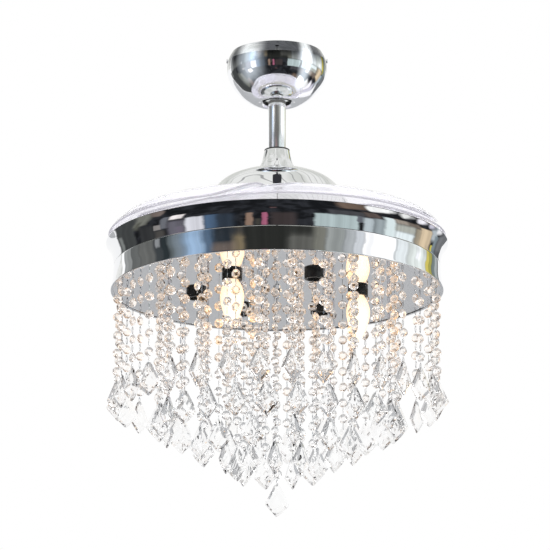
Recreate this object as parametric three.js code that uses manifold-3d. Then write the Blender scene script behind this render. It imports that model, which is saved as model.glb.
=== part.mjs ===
// Retractable blade ceiling fan with a crystal chandelier, as an assembly of separate pieces.
// Millimetres, +Z up. The origin is the centre of the hanging bracket's top face, at the ceiling.
// The front of the fan is -Y. Blades fold anticlockwise, seen from above, on top of the chrome ring.
import * as THREE from 'three';
import { mergeVertices } from 'three/addons/utils/BufferGeometryUtils.js';
import Module from 'manifold-3d';

const wasm = await Module();
wasm.setup();

// ---------------------------------------------------------------- driving sizes, mm and degrees

// Fits
const seatGap = 0.3; // between two pieces that rest on or in each other
const runGap = 0.5; // around pieces that turn in each other
const cutReach = 5; // how far a cutting tool runs past the surface it cuts

// Canopy and hanging bracket
const canopyRimRadius = 67.3;
const canopyBellyRadius = 73.6;
const canopyBellyDepth = 16;
const canopyDepth = 77;
const canopyLowRadius = 29;
const canopyMouthRadius = 21;
const canopyMouthRise = 4;
const canopyWall = 1.2;
const canopyCeilingGap = 0.5;
const canopyCurve = [[0.96, 0.53], [0.76, 0.805], [0.56, 0.95]]; // shares of belly radius, depth
const sealWidth = 1.3;
const sealHeight = 5;
const bracketHalfWidth = 25;
const bracketPlate = 2.5;
const bracketStrapHalfWidth = 19;
const bracketTabHalfWidth = 10;
const bracketTabDepth = 17;
const bracketEndGap = 2;
const bracketArmLength = 12;
const slotLength = 14;
const slotWidth = 5;
const slotCentre = 46;
const seatRingRadius = 33;
const seatRingHeight = 9;
const seatMouthWidth = 28.5;
const canopyScrewDepth = 11;
const canopyScrewRadius = 2;
const canopyScrewLength = 11;
const canopyScrewHeadRadius = 4;
const canopyScrewCrownRadius = 3.2;
const canopyScrewHeadEdge = 1.4;
const canopyScrewHeadHeight = 1.8;
const receiverLength = 36;
const receiverWidth = 21;
const receiverHeight = 21;
const terminalLength = 30;
const terminalWidth = 17;
const terminalHeight = 13;
const terminalWays = 3;
const terminalHoleRadius = 2.2;
const terminalHoleDepth = 6.5;

// Hanger ball and downrod
const ballRadius = 25;
const ballCentreDepth = 28;
const ballTopAboveCentre = 12;
const ballLowBelowCentre = 17;
const ballSeatGap = 0.6;
const crossPinRadius = 3;
const crossPinHalfLength = 20;
const crossPinAboveCentre = 9;
const rodRadius = 13;
const rodWall = 2;
const rodAboveBallCentre = 20;
const rodLength = 166;

// Coupling to the motor
const rodSeatDepth = 18;
const rodAboveFlange = 8;
const collarWall = 3.7;
const clevisPinRadius = 2.5;
const clevisPinHalfLength = 18.6;
const clevisPinUnderCollarTop = 9;
const clipThickness = 0.8;
const clipWidth = 1.6;
const clevisHeadShare = 1.5;
const coverTopRadius = 18.7;
const coverFootRadius = 28.5;
const coverHeight = 29.7;
const coverWall = 1.2;
const coverWaist = [0.36, 0.45]; // shares of its flare, height
const gasketHeight = 2;

// Motor dome
const domeWall = 1.3;
const domeFootRadius = 123;
const domeShoulderRadius = 94.5;
const domeHeight = 106;
const domeAboveRing = 7;
// Shares of shoulder flare and height.
const domeCrown = [[0.2, 0.026], [0.51, 0.085], [0.78, 0.17], [1, 0.315]];
const domeSkirt = [0.66, 0.6]; // shares of foot flare, height

// Motor
const shaftRadius = 10;
const shaftBoreRadius = 7;
const shaftFlangeRadius = 24;
const shaftFlangeHeight = 3.5;
const shaftShoulderRadius = 14;
const shaftShoulderHeight = 9;
const caseRadius = 80;
const caseWall = 2;
const caseHeight = 73.3;
const bearingRadius = 17.5;
const bearingWidth = 9;
const bearingLip = 3;
const bearingSeatWall = 3;
const bearingSeatExtra = 1;
const statorHeight = 24;
const statorSlots = 12;
const statorSlotDepth = 26;
const statorSlotWidth = 9;
const statorRaise = 1;
const windingInnerRadius = 32;
const windingOuterRadius = 58;
const windingHeight = 7.5;
const slotBarInset = 2;
const slotBarDepth = 10;
const magnetThickness = 7;
const airGap = 4.7; // between stator and magnets
const magnetHeight = 28;

// Chrome ring, pan and lamp plate
const ringRimRadius = 250;
const ringWaistInset = 11.5; // less than the rim's radius
const ringFootInset = 7.5;
const lowerBandHeight = 36;
const upperBandHeight = 34.7;
const bandWall = 1.5;
const bandFlange = 12;
const upperBandCurve = [[0.1, 0.35], [0.42, 0.72]]; // shares of flare, height
const lowerBandCurve = [0.25, 0.5];
const plateLip = 3;
const plateLipThickness = 1;
const panThickness = 2;
const plateThickness = 2;
const nutHeight = 8;
const nutRadius = 17;
const shaftTail = 3;

// Rotor: carrier disc, gears and blades
const pivotCircleShare = 0.79; // of the rim's radius
const ringGearTeeth = 68;
const pinionTeeth = 11;
const toothGroup = 8;
const toothLead = 1.8;
const toothTip = 0.8; // tooth height over the pitch circle, in modules
const toothRoot = 1.15; // tooth depth under it
const toothTipShare = 0.1045; // half a tooth's width at its tip, in steps
const toothRootShare = 0.2964;
const ringGearWidth = 46;
const ringGearThickness = 6.5;
const pinionHeight = 8;
const carrierThickness = 3;
const carrierInset = 17;
const carrierBoreRadius = 30;
const guideWall = 3;
const guideHeight = 5;
const bladeCount = 4;
const bladeFirstAngle = 39;
const bladeThickness = 2.6;
const bladeHalfWidth = 47.5;
const bladeAboveRing = 4;
const bladeArc = 137;
const bladeTailArc = 13;
const bladeTipTaper = 75;
const bladeCrownRise = 26;
const bladeCrownAcross = 0.45; // where the crown runs, from -1 at the inner edge to 1 at the outer
const bladeOuterFall = 20;
const bladeInnerFall = 8;
const bladeRampStart = 8;
const bladeRampEnd = 60;
const bladeEndShare = 0.06;
const pinRadius = 5;
const pinHeadRadius = 9;
const pinHeadHeight = 2.5;
const pinHeadEdge = 1.5;
const pinCrownRadius = 7.2;
const pinTail = 4;
const springWidth = 5;
const springHeight = 4;

// Lamps
const lampCount = 6;
const lampCircleShare = 0.4866; // of the ring's foot radius
const lampFirstAngle = -3;
const litLamps = [0, 4];
const holderRadius = 14.7;
const holderFlangeWidth = 3.3;
const holderFlangeHeight = 2.4;
const holderProud = 9;
const holderHeight = 36;
const holderMouthRadius = 10.5;
const holderMouthDepth = 8;
const holderSocketRadius = 7.6;
const holderSocketDepth = 30;
const holderTopInset = 2;
const bulbRadius = 17.5;
const bulbGlassLength = 76;
const bulbCapRadius = 7;
const bulbCapLength = 22;
const bulbContactHeight = 2;
const bulbCapClearance = 0.6;
const bulbCurve = [[0.42, 0.88], [0.8, 0.66], [1, 0.42], [0.84, 0.24]]; // shares of radius, length
const bulbNeckFlare = [2, 1];

// Supply lead
const leadRadius = 1.7;
const leadBlockStart = 40;
const leadBlockLength = 30;
const leadBlockWidth = 18;
const leadBlockHeight = 12;
const leadRodBendTop = 32;
const leadRodBendFoot = 14;
const leadExitDrop = 9;
const leadExitTurn = 4;
const leadEnd = 2;

// Crystal strings
const beadRadius = 5.2;
const pendantHeight = 50;
const pendantHalfWidth = 18;
const pendantHalfThickness = 4.5;
const pendantShoulder = 0.38;
const stringPoint = 4;
const stringInRail = 1;
const railHalfWidth = 1.5;
const railThickness = 2;
const centreDrop = 332;
// Radii as shares of the ring's foot radius, drops as shares of the centre string's.
const tiers = [
  { count: 32, out: 0.957, railOut: 0.957, down: 0.56, firstAngle: 5 },
  { count: 24, out: 0.705, railOut: 0.705, down: 0.66, firstAngle: 10 },
  { count: 12, out: 0.462, railOut: 0.396, down: 0.76, firstAngle: 12 },
  { count: 9, out: 0.239, railOut: 0.239, down: 0.846, firstAngle: 27 },
];
const eyeRadius = 4.5;
const linkRadius = 5;
const linkWire = 1;
const hookPlateRadius = 8;
const hookPlateHeight = 2;
const topBeadRadius = 7;
const topBeadThickness = 4;
const topBeadHoleOffset = 4.5;
const topBeadOverlap = 2.1;

// ---------------------------------------------------------------- levels, worked out

// Heights in the drum's own frame, which starts at the ring's foot.
const ringTop = lowerBandHeight + seatGap + upperBandHeight;
const panFoot = lowerBandHeight + seatGap;
const panTop = panFoot + panThickness;
const plateFoot = plateLipThickness + seatGap;
const plateTop = plateFoot + plateThickness;
const bladeFoot = ringTop + bladeAboveRing;
const pinionFoot = bladeFoot - seatGap - pinionHeight;
const carrierTop = pinionFoot - seatGap;
const carrierFoot = carrierTop - carrierThickness;
const caseFoot = carrierTop + seatGap;
const caseTop = caseFoot + caseHeight;
const domeFoot = ringTop + domeAboveRing;
const domeTop = domeFoot + domeHeight;
const shaftFlangeTop = domeTop - domeWall - seatGap;
const rodFoot = shaftFlangeTop + rodAboveFlange;
const collarTop = rodFoot + rodSeatDepth;
const coverFoot = domeTop + seatGap;
const coverTop = coverFoot + coverHeight;
const shaftShoulderFoot = panTop + seatGap;
const shaftFoot = panFoot - seatGap - nutHeight - shaftTail;

// Heights in the ceiling's frame.
const ballCentre = -ballCentreDepth;
const rodTop = ballCentre + rodAboveBallCentre;
const drumLevel = rodTop - rodLength - rodFoot;

// Radii that follow from the fits.
const collarBore = rodRadius + seatGap;
const collarRadius = collarBore + collarWall;
const magnetOuter = caseRadius - caseWall - seatGap;
const statorRadius = magnetOuter - magnetThickness - airGap;
const ringWaistRadius = ringRimRadius - ringWaistInset;
const ringFootRadius = ringRimRadius - ringFootInset;
const lampCircleRadius = ringFootRadius * lampCircleShare;
const carrierRadius = ringRimRadius - carrierInset;
const pivotRadius = ringRimRadius * pivotCircleShare;
const gearModule = (2 * pivotRadius) / (ringGearTeeth + pinionTeeth);
const ringGearPitchRadius = (gearModule * ringGearTeeth) / 2;
const ringGearBore = ringGearPitchRadius - ringGearWidth;
const guideRadius = ringGearBore - runGap;

// ---------------------------------------------------------------- materials

const finish = (color, roughness, metalness, extra = {}) =>
  new THREE.MeshStandardMaterial({ color, roughness, metalness, ...extra });
const chrome = finish(0xd9dbde, 0.06, 1);
const mirror = finish(0xc9ced1, 0.02, 1);
const steel = finish(0x9a9ca0, 0.35, 1);
const castSteel = finish(0x5e6064, 0.5, 0.9);
const copper = finish(0xb0683a, 0.4, 0.8);
const magnetBlack = finish(0x2c2c30, 0.6, 0.2);
const blackPlastic = finish(0x141414, 0.4, 0);
const whitePlastic = finish(0xe8e8e4, 0.5, 0);
const rubber = finish(0x1a1a1a, 0.9, 0);
const aluminium = finish(0xb8babd, 0.4, 0.9);
const nylon = finish(0xe4e0d4, 0.5, 0);
const acrylic = finish(0xf2f2fa, 0.05, 0, { transparent: true, opacity: 0.3 });
const crystal = finish(0xfafafa, 0.02, 0, { transparent: true, opacity: 0.4 });
const warmGlass = finish(0xffe0b0, 0.1, 0, { emissive: 0xffc070, emissiveIntensity: 1 });

// ---------------------------------------------------------------- helpers

const rad = THREE.MathUtils.degToRad;

// A closed solid of revolution about Z from [radius, height] points.
function revolve(points, segments) {
  const outline = points.map(([r, z]) => new THREE.Vector2(Math.max(r, 0), z));
  if (THREE.ShapeUtils.area(outline) < 0) outline.reverse();
  const onAxis = outline[0].x === 0 && outline[outline.length - 1].x === 0;
  if (!onAxis) outline.push(outline[0].clone());
  return new THREE.LatheGeometry(outline, segments).rotateX(Math.PI / 2);
}

// A ring or tube of rectangular section.
function tube(inner, outer, foot, top, segments) {
  return revolve([[inner, foot], [outer, foot], [outer, top], [inner, top]], segments);
}

function disc(radius, foot, top, segments) {
  return revolve([[0, foot], [radius, foot], [radius, top], [0, top]], segments);
}

// Turns an outer profile into a thin wall by moving a copy of it sideways.
// side is 1 where the wall lies to the left of the profile's direction, -1 to the right.
// Each end is cut square to the axis, or along it where the profile runs more outwards than up.
function shell(profile, wall, side) {
  const last = profile.length - 1;
  const inner = profile.map(([r, z], i) => {
    const [r0, z0] = profile[Math.max(i - 1, 0)];
    const [r1, z1] = profile[Math.min(i + 1, last)];
    const length = Math.hypot(r1 - r0, z1 - z0);
    const offset = (side * wall) / length;
    const atEnd = i === 0 || i === last;
    const steep = Math.abs(z1 - z0) > Math.abs(r1 - r0);
    return [
      atEnd && !steep ? r : r - (z1 - z0) * offset,
      atEnd && steep ? z : z + (r1 - r0) * offset,
    ];
  });
  return [...profile, ...inner.reverse()];
}

// Radius of a profile at a height, between its nearest two points.
function radiusAt(profile, height) {
  const next = profile.findIndex(([, z]) => (z - height) * (profile[0][1] - height) <= 0);
  const [r0, z0] = profile[next - 1];
  const [r1, z1] = profile[next];
  return r0 + ((r1 - r0) * (height - z0)) / (z1 - z0);
}

// Points along a smooth curve through the given ones.
function smooth(points, count) {
  const curve = new THREE.SplineCurve(points.map(([r, z]) => new THREE.Vector2(r, z)));
  return curve.getPoints(count).map((p) => [p.x, p.y]);
}

function box(x0, x1, y0, y1, z0, z1) {
  const geometry = new THREE.BoxGeometry(x1 - x0, y1 - y0, z1 - z0);
  return geometry.translate((x0 + x1) / 2, (y0 + y1) / 2, (z0 + z1) / 2);
}

// A round bar along X.
function barX(radius, from, to, segments) {
  const bar = new THREE.CylinderGeometry(radius, radius, to - from, segments);
  return bar.rotateZ(Math.PI / 2).translate((from + to) / 2, 0, 0);
}

function solid(geometry) {
  const bare = geometry.index ? geometry.toNonIndexed() : geometry.clone();
  bare.deleteAttribute('normal');
  bare.deleteAttribute('uv');
  const merged = mergeVertices(bare, 1e-4);
  return new wasm.Manifold(new wasm.Mesh({
    numProp: 3,
    vertProperties: new Float32Array(merged.attributes.position.array),
    triVerts: new Uint32Array(merged.index.array),
  }));
}

function fromSolid(made) {
  const { vertProperties, triVerts } = made.getMesh();
  const geometry = new THREE.BufferGeometry();
  geometry.setAttribute('position', new THREE.BufferAttribute(vertProperties, 3));
  geometry.setIndex(new THREE.BufferAttribute(triVerts, 1));
  geometry.computeVertexNormals();
  return geometry;
}

const cut = (geometry, tools) =>
  fromSolid(tools.reduce((body, tool) => body.subtract(solid(tool)), solid(geometry)));
const join = (geometries) =>
  fromSolid(geometries.map(solid).reduce((body, piece) => body.add(piece)));

function add(group, name, geometry, material, place = [0, 0, 0], turn = 0) {
  const mesh = new THREE.Mesh(geometry, material);
  mesh.name = name;
  mesh.position.set(...place);
  mesh.rotation.z = turn;
  group.add(mesh);
  return mesh;
}

const onCircle = (radius, angle, height = 0) =>
  [radius * Math.cos(angle), radius * Math.sin(angle), height];

// Points round a circle, for shapes and their holes.
const circle = (radius, count, x = 0, y = 0) => Array.from({ length: count }, (_, i) => {
  const angle = (i * 2 * Math.PI) / count;
  return new THREE.Vector2(x + radius * Math.cos(angle), y + radius * Math.sin(angle));
});

// ---------------------------------------------------------------- groups

const fan = new THREE.Group();
const ceilingMount = new THREE.Group();
const hanger = new THREE.Group();
const drum = new THREE.Group();
drum.position.z = drumLevel;
fan.add(ceilingMount, hanger, drum);

// ---------------------------------------------------------------- canopy and hanging bracket

const canopyRim = -canopyCeilingGap;
const canopyMouth = -canopyDepth + canopyMouthRise;
const canopyProfile = smooth([
  [canopyRimRadius, canopyRim],
  [canopyBellyRadius, -canopyBellyDepth],
  ...canopyCurve.map(([out, down]) => [canopyBellyRadius * out, -canopyDepth * down]),
  [canopyLowRadius, -canopyDepth],
  [canopyMouthRadius, canopyMouth],
], 8);

const screwSeat = radiusAt(canopyProfile, -canopyScrewDepth);
const screwHoleEnd = screwSeat + cutReach;
const screwHole = barX(canopyScrewRadius + seatGap, -screwHoleEnd, screwHoleEnd, 10);
screwHole.translate(0, 0, -canopyScrewDepth);
add(
  ceilingMount, 'canopy',
  cut(revolve(shell(canopyProfile, canopyWall, -1), 28), [screwHole]), chrome,
);
add(
  ceilingMount, 'canopy_seal',
  tube(canopyMouthRadius - seatGap - sealWidth, canopyMouthRadius - seatGap,
    canopyMouth - sealHeight / 2, canopyMouth + sealHeight / 2, 20), rubber,
);

// The bracket: a flat bar with turned-down ends, and a cradle with a round seat for the ball.
const tabOuter = canopyRimRadius - canopyWall - bracketEndGap;
const strapInner = seatRingRadius - bracketPlate;
const seatRingFoot = ballCentre - ballLowBelowCentre;
const seatRingTop = seatRingFoot + seatRingHeight;
const seatHeights = [0, 0.5, 1].map((share) => seatRingFoot + share * seatRingHeight);
const seatProfile = seatHeights.map((z) =>
  [Math.sqrt((ballRadius + ballSeatGap) ** 2 - (z - ballCentre) ** 2), z]);
const seatRing = revolve([
  ...seatProfile, [seatRingRadius, seatRingTop], [seatRingRadius, seatRingFoot],
], 24);
const bracketSlots = [-1, 1].map((side) => box(
  side * slotCentre - slotLength / 2, side * slotCentre + slotLength / 2,
  -slotWidth / 2, slotWidth / 2, -bracketPlate - cutReach, cutReach,
));
const bracketSides = [-1, 1].flatMap((side) => {
  const strap = box(strapInner, seatRingRadius, -bracketStrapHalfWidth, bracketStrapHalfWidth,
    seatRingFoot, -bracketPlate / 2);
  const tab = box(tabOuter - bracketPlate, tabOuter, -bracketTabHalfWidth, bracketTabHalfWidth,
    -bracketTabDepth, -bracketPlate / 2);
  return [strap, tab].map((piece) => piece.rotateZ(side > 0 ? 0 : Math.PI));
});
const bracketArms = box(-tabOuter, tabOuter, -bracketTabHalfWidth, bracketTabHalfWidth,
  -bracketPlate, 0);
const barEnd = tabOuter - bracketArmLength;
const bracketBar = box(-barEnd, barEnd, -bracketHalfWidth, bracketHalfWidth, -bracketPlate, 0);
const seatMouth = box(-seatMouthWidth / 2, seatMouthWidth / 2, 0, seatRingRadius + cutReach,
  seatRingFoot - cutReach, seatRingTop + cutReach);
const seatRingOpen = cut(seatRing, [seatMouth]);
add(
  ceilingMount, 'hanging_bracket',
  cut(join([bracketBar, bracketArms, seatRingOpen, ...bracketSides]), [...bracketSlots, screwHole]),
  steel,
);

// Two screws hold the canopy to the bracket's turned-down ends.
const canopyScrew = revolve([
  [0, -canopyScrewLength], [canopyScrewRadius, -canopyScrewLength], [canopyScrewRadius, 0],
  [canopyScrewHeadRadius, 0], [canopyScrewCrownRadius, canopyScrewHeadEdge],
  [0, canopyScrewHeadHeight],
], 12).rotateY(Math.PI / 2);
[0, 1].forEach((i) => add(
  ceilingMount, `canopy_screw_${i + 1}`, canopyScrew.clone(), chrome,
  [(screwSeat + seatGap * 3) * (i ? -1 : 1), 0, -canopyScrewDepth], i * Math.PI,
));

// Radio receiver and terminal block, under the bracket's bar on either side of the cradle.
const bayInner = seatRingRadius + seatGap;
add(
  ceilingMount, 'receiver_box',
  box(bayInner, bayInner + receiverWidth, -receiverLength / 2, receiverLength / 2,
    -bracketPlate - seatGap - receiverHeight, -bracketPlate - seatGap), whitePlastic,
);
const terminalHoles = Array.from({ length: terminalWays }, (_, i) => {
  const y = ((i + 0.5) / terminalWays - 0.5) * terminalLength;
  const reach = 2 * terminalHoleDepth;
  const hole = new THREE.CylinderGeometry(terminalHoleRadius, terminalHoleRadius, reach, 8);
  return hole.rotateX(Math.PI / 2).translate(
    -bayInner - terminalWidth / 2, y, -bracketPlate - seatGap - terminalHeight,
  );
});
add(
  ceilingMount, 'terminal_block',
  cut(box(-bayInner - terminalWidth, -bayInner, -terminalLength / 2, terminalLength / 2,
    -bracketPlate - seatGap - terminalHeight, -bracketPlate - seatGap), terminalHoles),
  whitePlastic,
);

// ---------------------------------------------------------------- hanger ball and downrod

const crossPinLevel = ballCentre + crossPinAboveCentre;
const pinHoleEnd = ballRadius + cutReach;
const crossPinHole = barX(crossPinRadius + seatGap, -pinHoleEnd, pinHoleEnd, 12);
crossPinHole.translate(0, 0, crossPinLevel);
const ballHeights = [0, 0.25, 0.5, 0.75, 1].map((share) =>
  ballCentre - ballLowBelowCentre + share * (ballLowBelowCentre + ballTopAboveCentre));
const ballProfile = ballHeights.map((z) =>
  [Math.sqrt(ballRadius ** 2 - (z - ballCentre) ** 2), z]);
const ballBore = rodRadius + seatGap;
const ballTop = ballCentre + ballTopAboveCentre;
const ball = revolve([
  ...ballProfile, [ballBore, ballTop], [ballBore, ballCentre - ballLowBelowCentre],
], 24);
const pinGroove = box(-pinHoleEnd, pinHoleEnd,
  -crossPinRadius - seatGap, crossPinRadius + seatGap, crossPinLevel, ballTop + cutReach);
add(hanger, 'hanger_ball', cut(ball, [crossPinHole, pinGroove]), blackPlastic);
const crossPin = barX(crossPinRadius, -crossPinHalfLength, crossPinHalfLength, 12);
add(hanger, 'cross_pin', crossPin, steel, [0, 0, crossPinLevel]);

const clevisLevel = collarTop - clevisPinUnderCollarTop;
const clevisHoleEnd = collarRadius + cutReach;
const clevisHole = barX(clevisPinRadius + seatGap, -clevisHoleEnd, clevisHoleEnd, 12);
add(
  hanger, 'downrod',
  cut(tube(rodRadius - rodWall, rodRadius, rodTop - rodLength + seatGap, rodTop, 18),
    [crossPinHole, clevisHole.clone().translate(0, 0, drumLevel + clevisLevel)]), chrome,
);

// ---------------------------------------------------------------- coupling and motor shaft

const collarGap = collarRadius + seatGap;
const shaft = revolve([
  [shaftBoreRadius, shaftFoot], [shaftRadius - seatGap, shaftFoot],
  [shaftRadius - seatGap, shaftShoulderFoot], [shaftShoulderRadius, shaftShoulderFoot],
  [shaftShoulderRadius, shaftShoulderFoot + shaftShoulderHeight],
  [shaftRadius, shaftShoulderFoot + shaftShoulderHeight],
  [shaftRadius, shaftFlangeTop - shaftFlangeHeight],
  [shaftFlangeRadius, shaftFlangeTop - shaftFlangeHeight], [shaftFlangeRadius, shaftFlangeTop],
  [collarRadius, shaftFlangeTop], [collarRadius, collarTop], [collarBore, collarTop],
  [collarBore, rodFoot], [shaftBoreRadius, rodFoot],
], 18);
add(
  drum, 'motor_shaft',
  cut(shaft, [clevisHole.clone().translate(0, 0, clevisLevel)]), steel,
);
const clevisPin = join([
  barX(clevisPinRadius, -clevisPinHalfLength, clevisPinHalfLength, 12),
  barX(clevisPinRadius * clevisHeadShare, -clevisPinHalfLength, -collarGap, 12),
]);
add(drum, 'clevis_pin', clevisPin, steel, [0, 0, clevisLevel]);
const clipRing = tube(clevisPinRadius + seatGap, clevisPinRadius + seatGap + clipWidth,
  0, clipThickness, 10).rotateY(Math.PI / 2);
add(drum, 'pin_clip', clipRing, steel, [collarGap, 0, clevisLevel]);

// The cover's foot flares; its lip closes on the rod.
const coverProfile = smooth([
  [coverFootRadius, coverFoot],
  [coverTopRadius + (coverFootRadius - coverTopRadius) * coverWaist[0],
    coverFoot + coverHeight * coverWaist[1]],
  [coverTopRadius, coverTop],
], 3);
const coverShell = shell(coverProfile, coverWall, 1);
const lipBore = rodRadius + seatGap;
const coverOuter = coverShell.slice(0, coverProfile.length);
const coverInner = coverShell.slice(coverProfile.length + 1);
add(
  drum, 'coupling_cover',
  revolve([...coverOuter, [lipBore, coverTop], [lipBore, coverTop - coverWall],
    [coverTopRadius - coverWall, coverTop - coverWall], ...coverInner], 24), chrome,
);
add(
  drum, 'cover_gasket',
  tube(lipBore, coverTopRadius - seatGap, coverTop + seatGap, coverTop + seatGap + gasketHeight, 20),
  rubber,
);

// ---------------------------------------------------------------- motor dome

const crownFlare = domeShoulderRadius - coverFootRadius;
const skirtFlare = domeFootRadius - domeShoulderRadius;
const domeProfile = smooth([
  [coverFootRadius, domeTop],
  ...domeCrown.map(([out, down]) => [
    coverFootRadius + crownFlare * out, domeTop - domeHeight * down]),
  [domeShoulderRadius + skirtFlare * domeSkirt[0], domeTop - domeHeight * domeSkirt[1]],
  [domeFootRadius, domeFoot],
], 7);
const domeShell = shell([[collarGap, domeTop], ...domeProfile], domeWall, -1);
add(drum, 'motor_dome', revolve(domeShell, 28), chrome);

// ---------------------------------------------------------------- motor

const statorMiddle = (caseFoot + caseTop) / 2 + statorRaise;
const statorFoot = statorMiddle - statorHeight / 2;
const statorTop = statorMiddle + statorHeight / 2;
const statorSlotTools = Array.from({ length: statorSlots }, (_, i) => box(
  statorRadius - statorSlotDepth, statorRadius + cutReach,
  -statorSlotWidth / 2, statorSlotWidth / 2, statorFoot - cutReach, statorTop + cutReach,
).rotateZ(((i + 0.5) * 2 * Math.PI) / statorSlots));
add(
  drum, 'stator_core',
  cut(tube(shaftRadius + seatGap, statorRadius, statorFoot, statorTop, 24), statorSlotTools),
  castSteel,
);
// The winding's two end turns are joined by a bar through each slot.
const slotBarOuter = windingOuterRadius - slotBarInset;
const slotBars = Array.from({ length: statorSlots }, (_, i) => box(
  slotBarOuter - slotBarDepth, slotBarOuter,
  -statorSlotWidth / 2 + runGap, statorSlotWidth / 2 - runGap,
  statorFoot - windingHeight / 2, statorTop + windingHeight / 2,
).rotateZ(((i + 0.5) * 2 * Math.PI) / statorSlots));
const endTurn = (foot) =>
  tube(windingInnerRadius, windingOuterRadius, foot, foot + windingHeight, 20);
add(
  drum, 'stator_winding',
  join([endTurn(statorTop + seatGap), endTurn(statorFoot - seatGap - windingHeight), ...slotBars]),
  copper,
);

const bearing = (foot) =>
  tube(shaftRadius + seatGap, bearingRadius, foot, foot + bearingWidth, 16);
const lowerBearingFoot = caseFoot + caseWall + seatGap;
const upperBearingFoot = caseTop - caseWall - seatGap - bearingWidth;
add(drum, 'bearing_lower', bearing(lowerBearingFoot), steel);
add(drum, 'bearing_upper', bearing(upperBearingFoot), steel);

// Each half of the motor case is a cup with a seat for its bearing.
function caseHalf(foot, rim, up) {
  const seat = bearingRadius + seatGap;
  const lip = bearingRadius - bearingLip;
  const inside = foot + up * caseWall;
  const seatTop = inside + up * (bearingWidth + bearingSeatExtra);
  return revolve([
    [lip, foot], [caseRadius, foot], [caseRadius, rim], [caseRadius - caseWall, rim],
    [caseRadius - caseWall, inside], [seat + bearingSeatWall, inside],
    [seat + bearingSeatWall, seatTop],
    [seat, seatTop], [seat, inside], [lip, inside],
  ], 24);
}
const caseSplit = (caseFoot + caseTop) / 2;
add(drum, 'rotor_case_lower', caseHalf(caseFoot, caseSplit - seatGap / 2, 1), aluminium);
add(drum, 'rotor_case_upper', caseHalf(caseTop, caseSplit + seatGap / 2, -1), aluminium);
add(
  drum, 'magnet_ring',
  tube(magnetOuter - magnetThickness, magnetOuter,
    statorMiddle - magnetHeight / 2, statorMiddle + magnetHeight / 2, 24), magnetBlack,
);

// ---------------------------------------------------------------- blade carrier and gears

const bladeAngles = Array.from({ length: bladeCount }, (_, i) =>
  rad(bladeFirstAngle) + (i * 2 * Math.PI) / bladeCount);
const pinBore = pinRadius + seatGap;
const pinHole = (height) =>
  new THREE.CylinderGeometry(pinBore, pinBore, height, 12).rotateX(Math.PI / 2);

const carrierBody = revolve([
  [carrierBoreRadius, carrierFoot], [carrierRadius, carrierFoot], [carrierRadius, carrierTop],
  [guideRadius, carrierTop], [guideRadius, carrierTop + guideHeight],
  [guideRadius - guideWall, carrierTop + guideHeight], [guideRadius - guideWall, carrierTop],
  [carrierBoreRadius, carrierTop],
], 40);
const carrierHoles = bladeAngles.map((angle) => pinHole(carrierThickness * 4)
  .translate(...onCircle(pivotRadius, angle, (carrierFoot + carrierTop) / 2)));
add(drum, 'blade_carrier', cut(carrierBody, carrierHoles), aluminium);

// A straight-flanked gear outline. hasTooth says which teeth are left standing.
function gearShape(teeth, boreRadius, boreSides, hasTooth) {
  const pitch = (gearModule * teeth) / 2;
  const tip = pitch + gearModule * toothTip;
  const root = pitch - gearModule * toothRoot;
  const step = (2 * Math.PI) / teeth;
  const points = [];
  for (let i = 0; i < teeth; i += 1) {
    const centre = i * step;
    const corners = hasTooth(centre)
      ? [[-toothRootShare, root], [-toothTipShare, tip], [toothTipShare, tip], [toothRootShare, root]]
      : [[0, root]];
    corners.forEach(([share, radius]) => {
      const angle = centre + share * step;
      points.push(new THREE.Vector2(radius * Math.cos(angle), radius * Math.sin(angle)));
    });
  }
  const shape = new THREE.Shape(points);
  shape.holes.push(new THREE.Path(circle(boreRadius, boreSides)));
  return shape;
}

// The synchronising ring keeps teeth only where the four pinions run on it.
const ringGearStep = (2 * Math.PI) / ringGearTeeth;
const nearPinion = (angle) => bladeAngles.some((pinionAngle) => {
  const from = angle - pinionAngle + toothLead * ringGearStep;
  const away = Math.atan2(Math.sin(from), Math.cos(from));
  return Math.abs(away) < (toothGroup / 2) * ringGearStep;
});
const ringGearGeometry = new THREE.ExtrudeGeometry(
  gearShape(ringGearTeeth, ringGearBore, 40, nearPinion),
  { depth: ringGearThickness, bevelEnabled: false },
);
add(drum, 'sync_ring_gear', ringGearGeometry, nylon, [0, 0, pinionFoot]);

// The coiled return spring lies inside the guide collar and pulls the ring gear back.
const springRadius = guideRadius - guideWall - runGap * 2;
add(
  drum, 'return_spring',
  tube(springRadius - springWidth, springRadius,
    carrierTop + seatGap, carrierTop + seatGap + springHeight, 32), castSteel,
);

const pinionGeometry = new THREE.ExtrudeGeometry(
  gearShape(pinionTeeth, pinBore, 12, () => true),
  { depth: pinionHeight, bevelEnabled: false },
);

// ---------------------------------------------------------------- blades

// How far a folded blade has risen at an angle ahead of its pivot, from 0 to 1.
const ramp = (angle) => THREE.MathUtils.smoothstep(angle, rad(bladeRampStart), rad(bladeRampEnd));

// The height of a raised blade across its width, which falls away from the crown to both edges.
function bladeSection(across) {
  const outside = across > bladeCrownAcross;
  const share = (across - bladeCrownAcross) / ((outside ? 1 : -1) - bladeCrownAcross);
  return bladeCrownRise - (outside ? bladeOuterFall : bladeInnerFall) * share * share;
}

// Half of the blade's width at a distance from its tail and its tip.
function bladeHalfWidthAt(fromTail, fromTip) {
  const round = (distance, length) => {
    const share = 1 - Math.min(distance / length, 1);
    return Math.sqrt(Math.max(1 - share * share, bladeEndShare));
  };
  return bladeHalfWidth * Math.min(round(fromTail, bladeHalfWidth), round(fromTip, bladeTipTaper));
}

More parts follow.
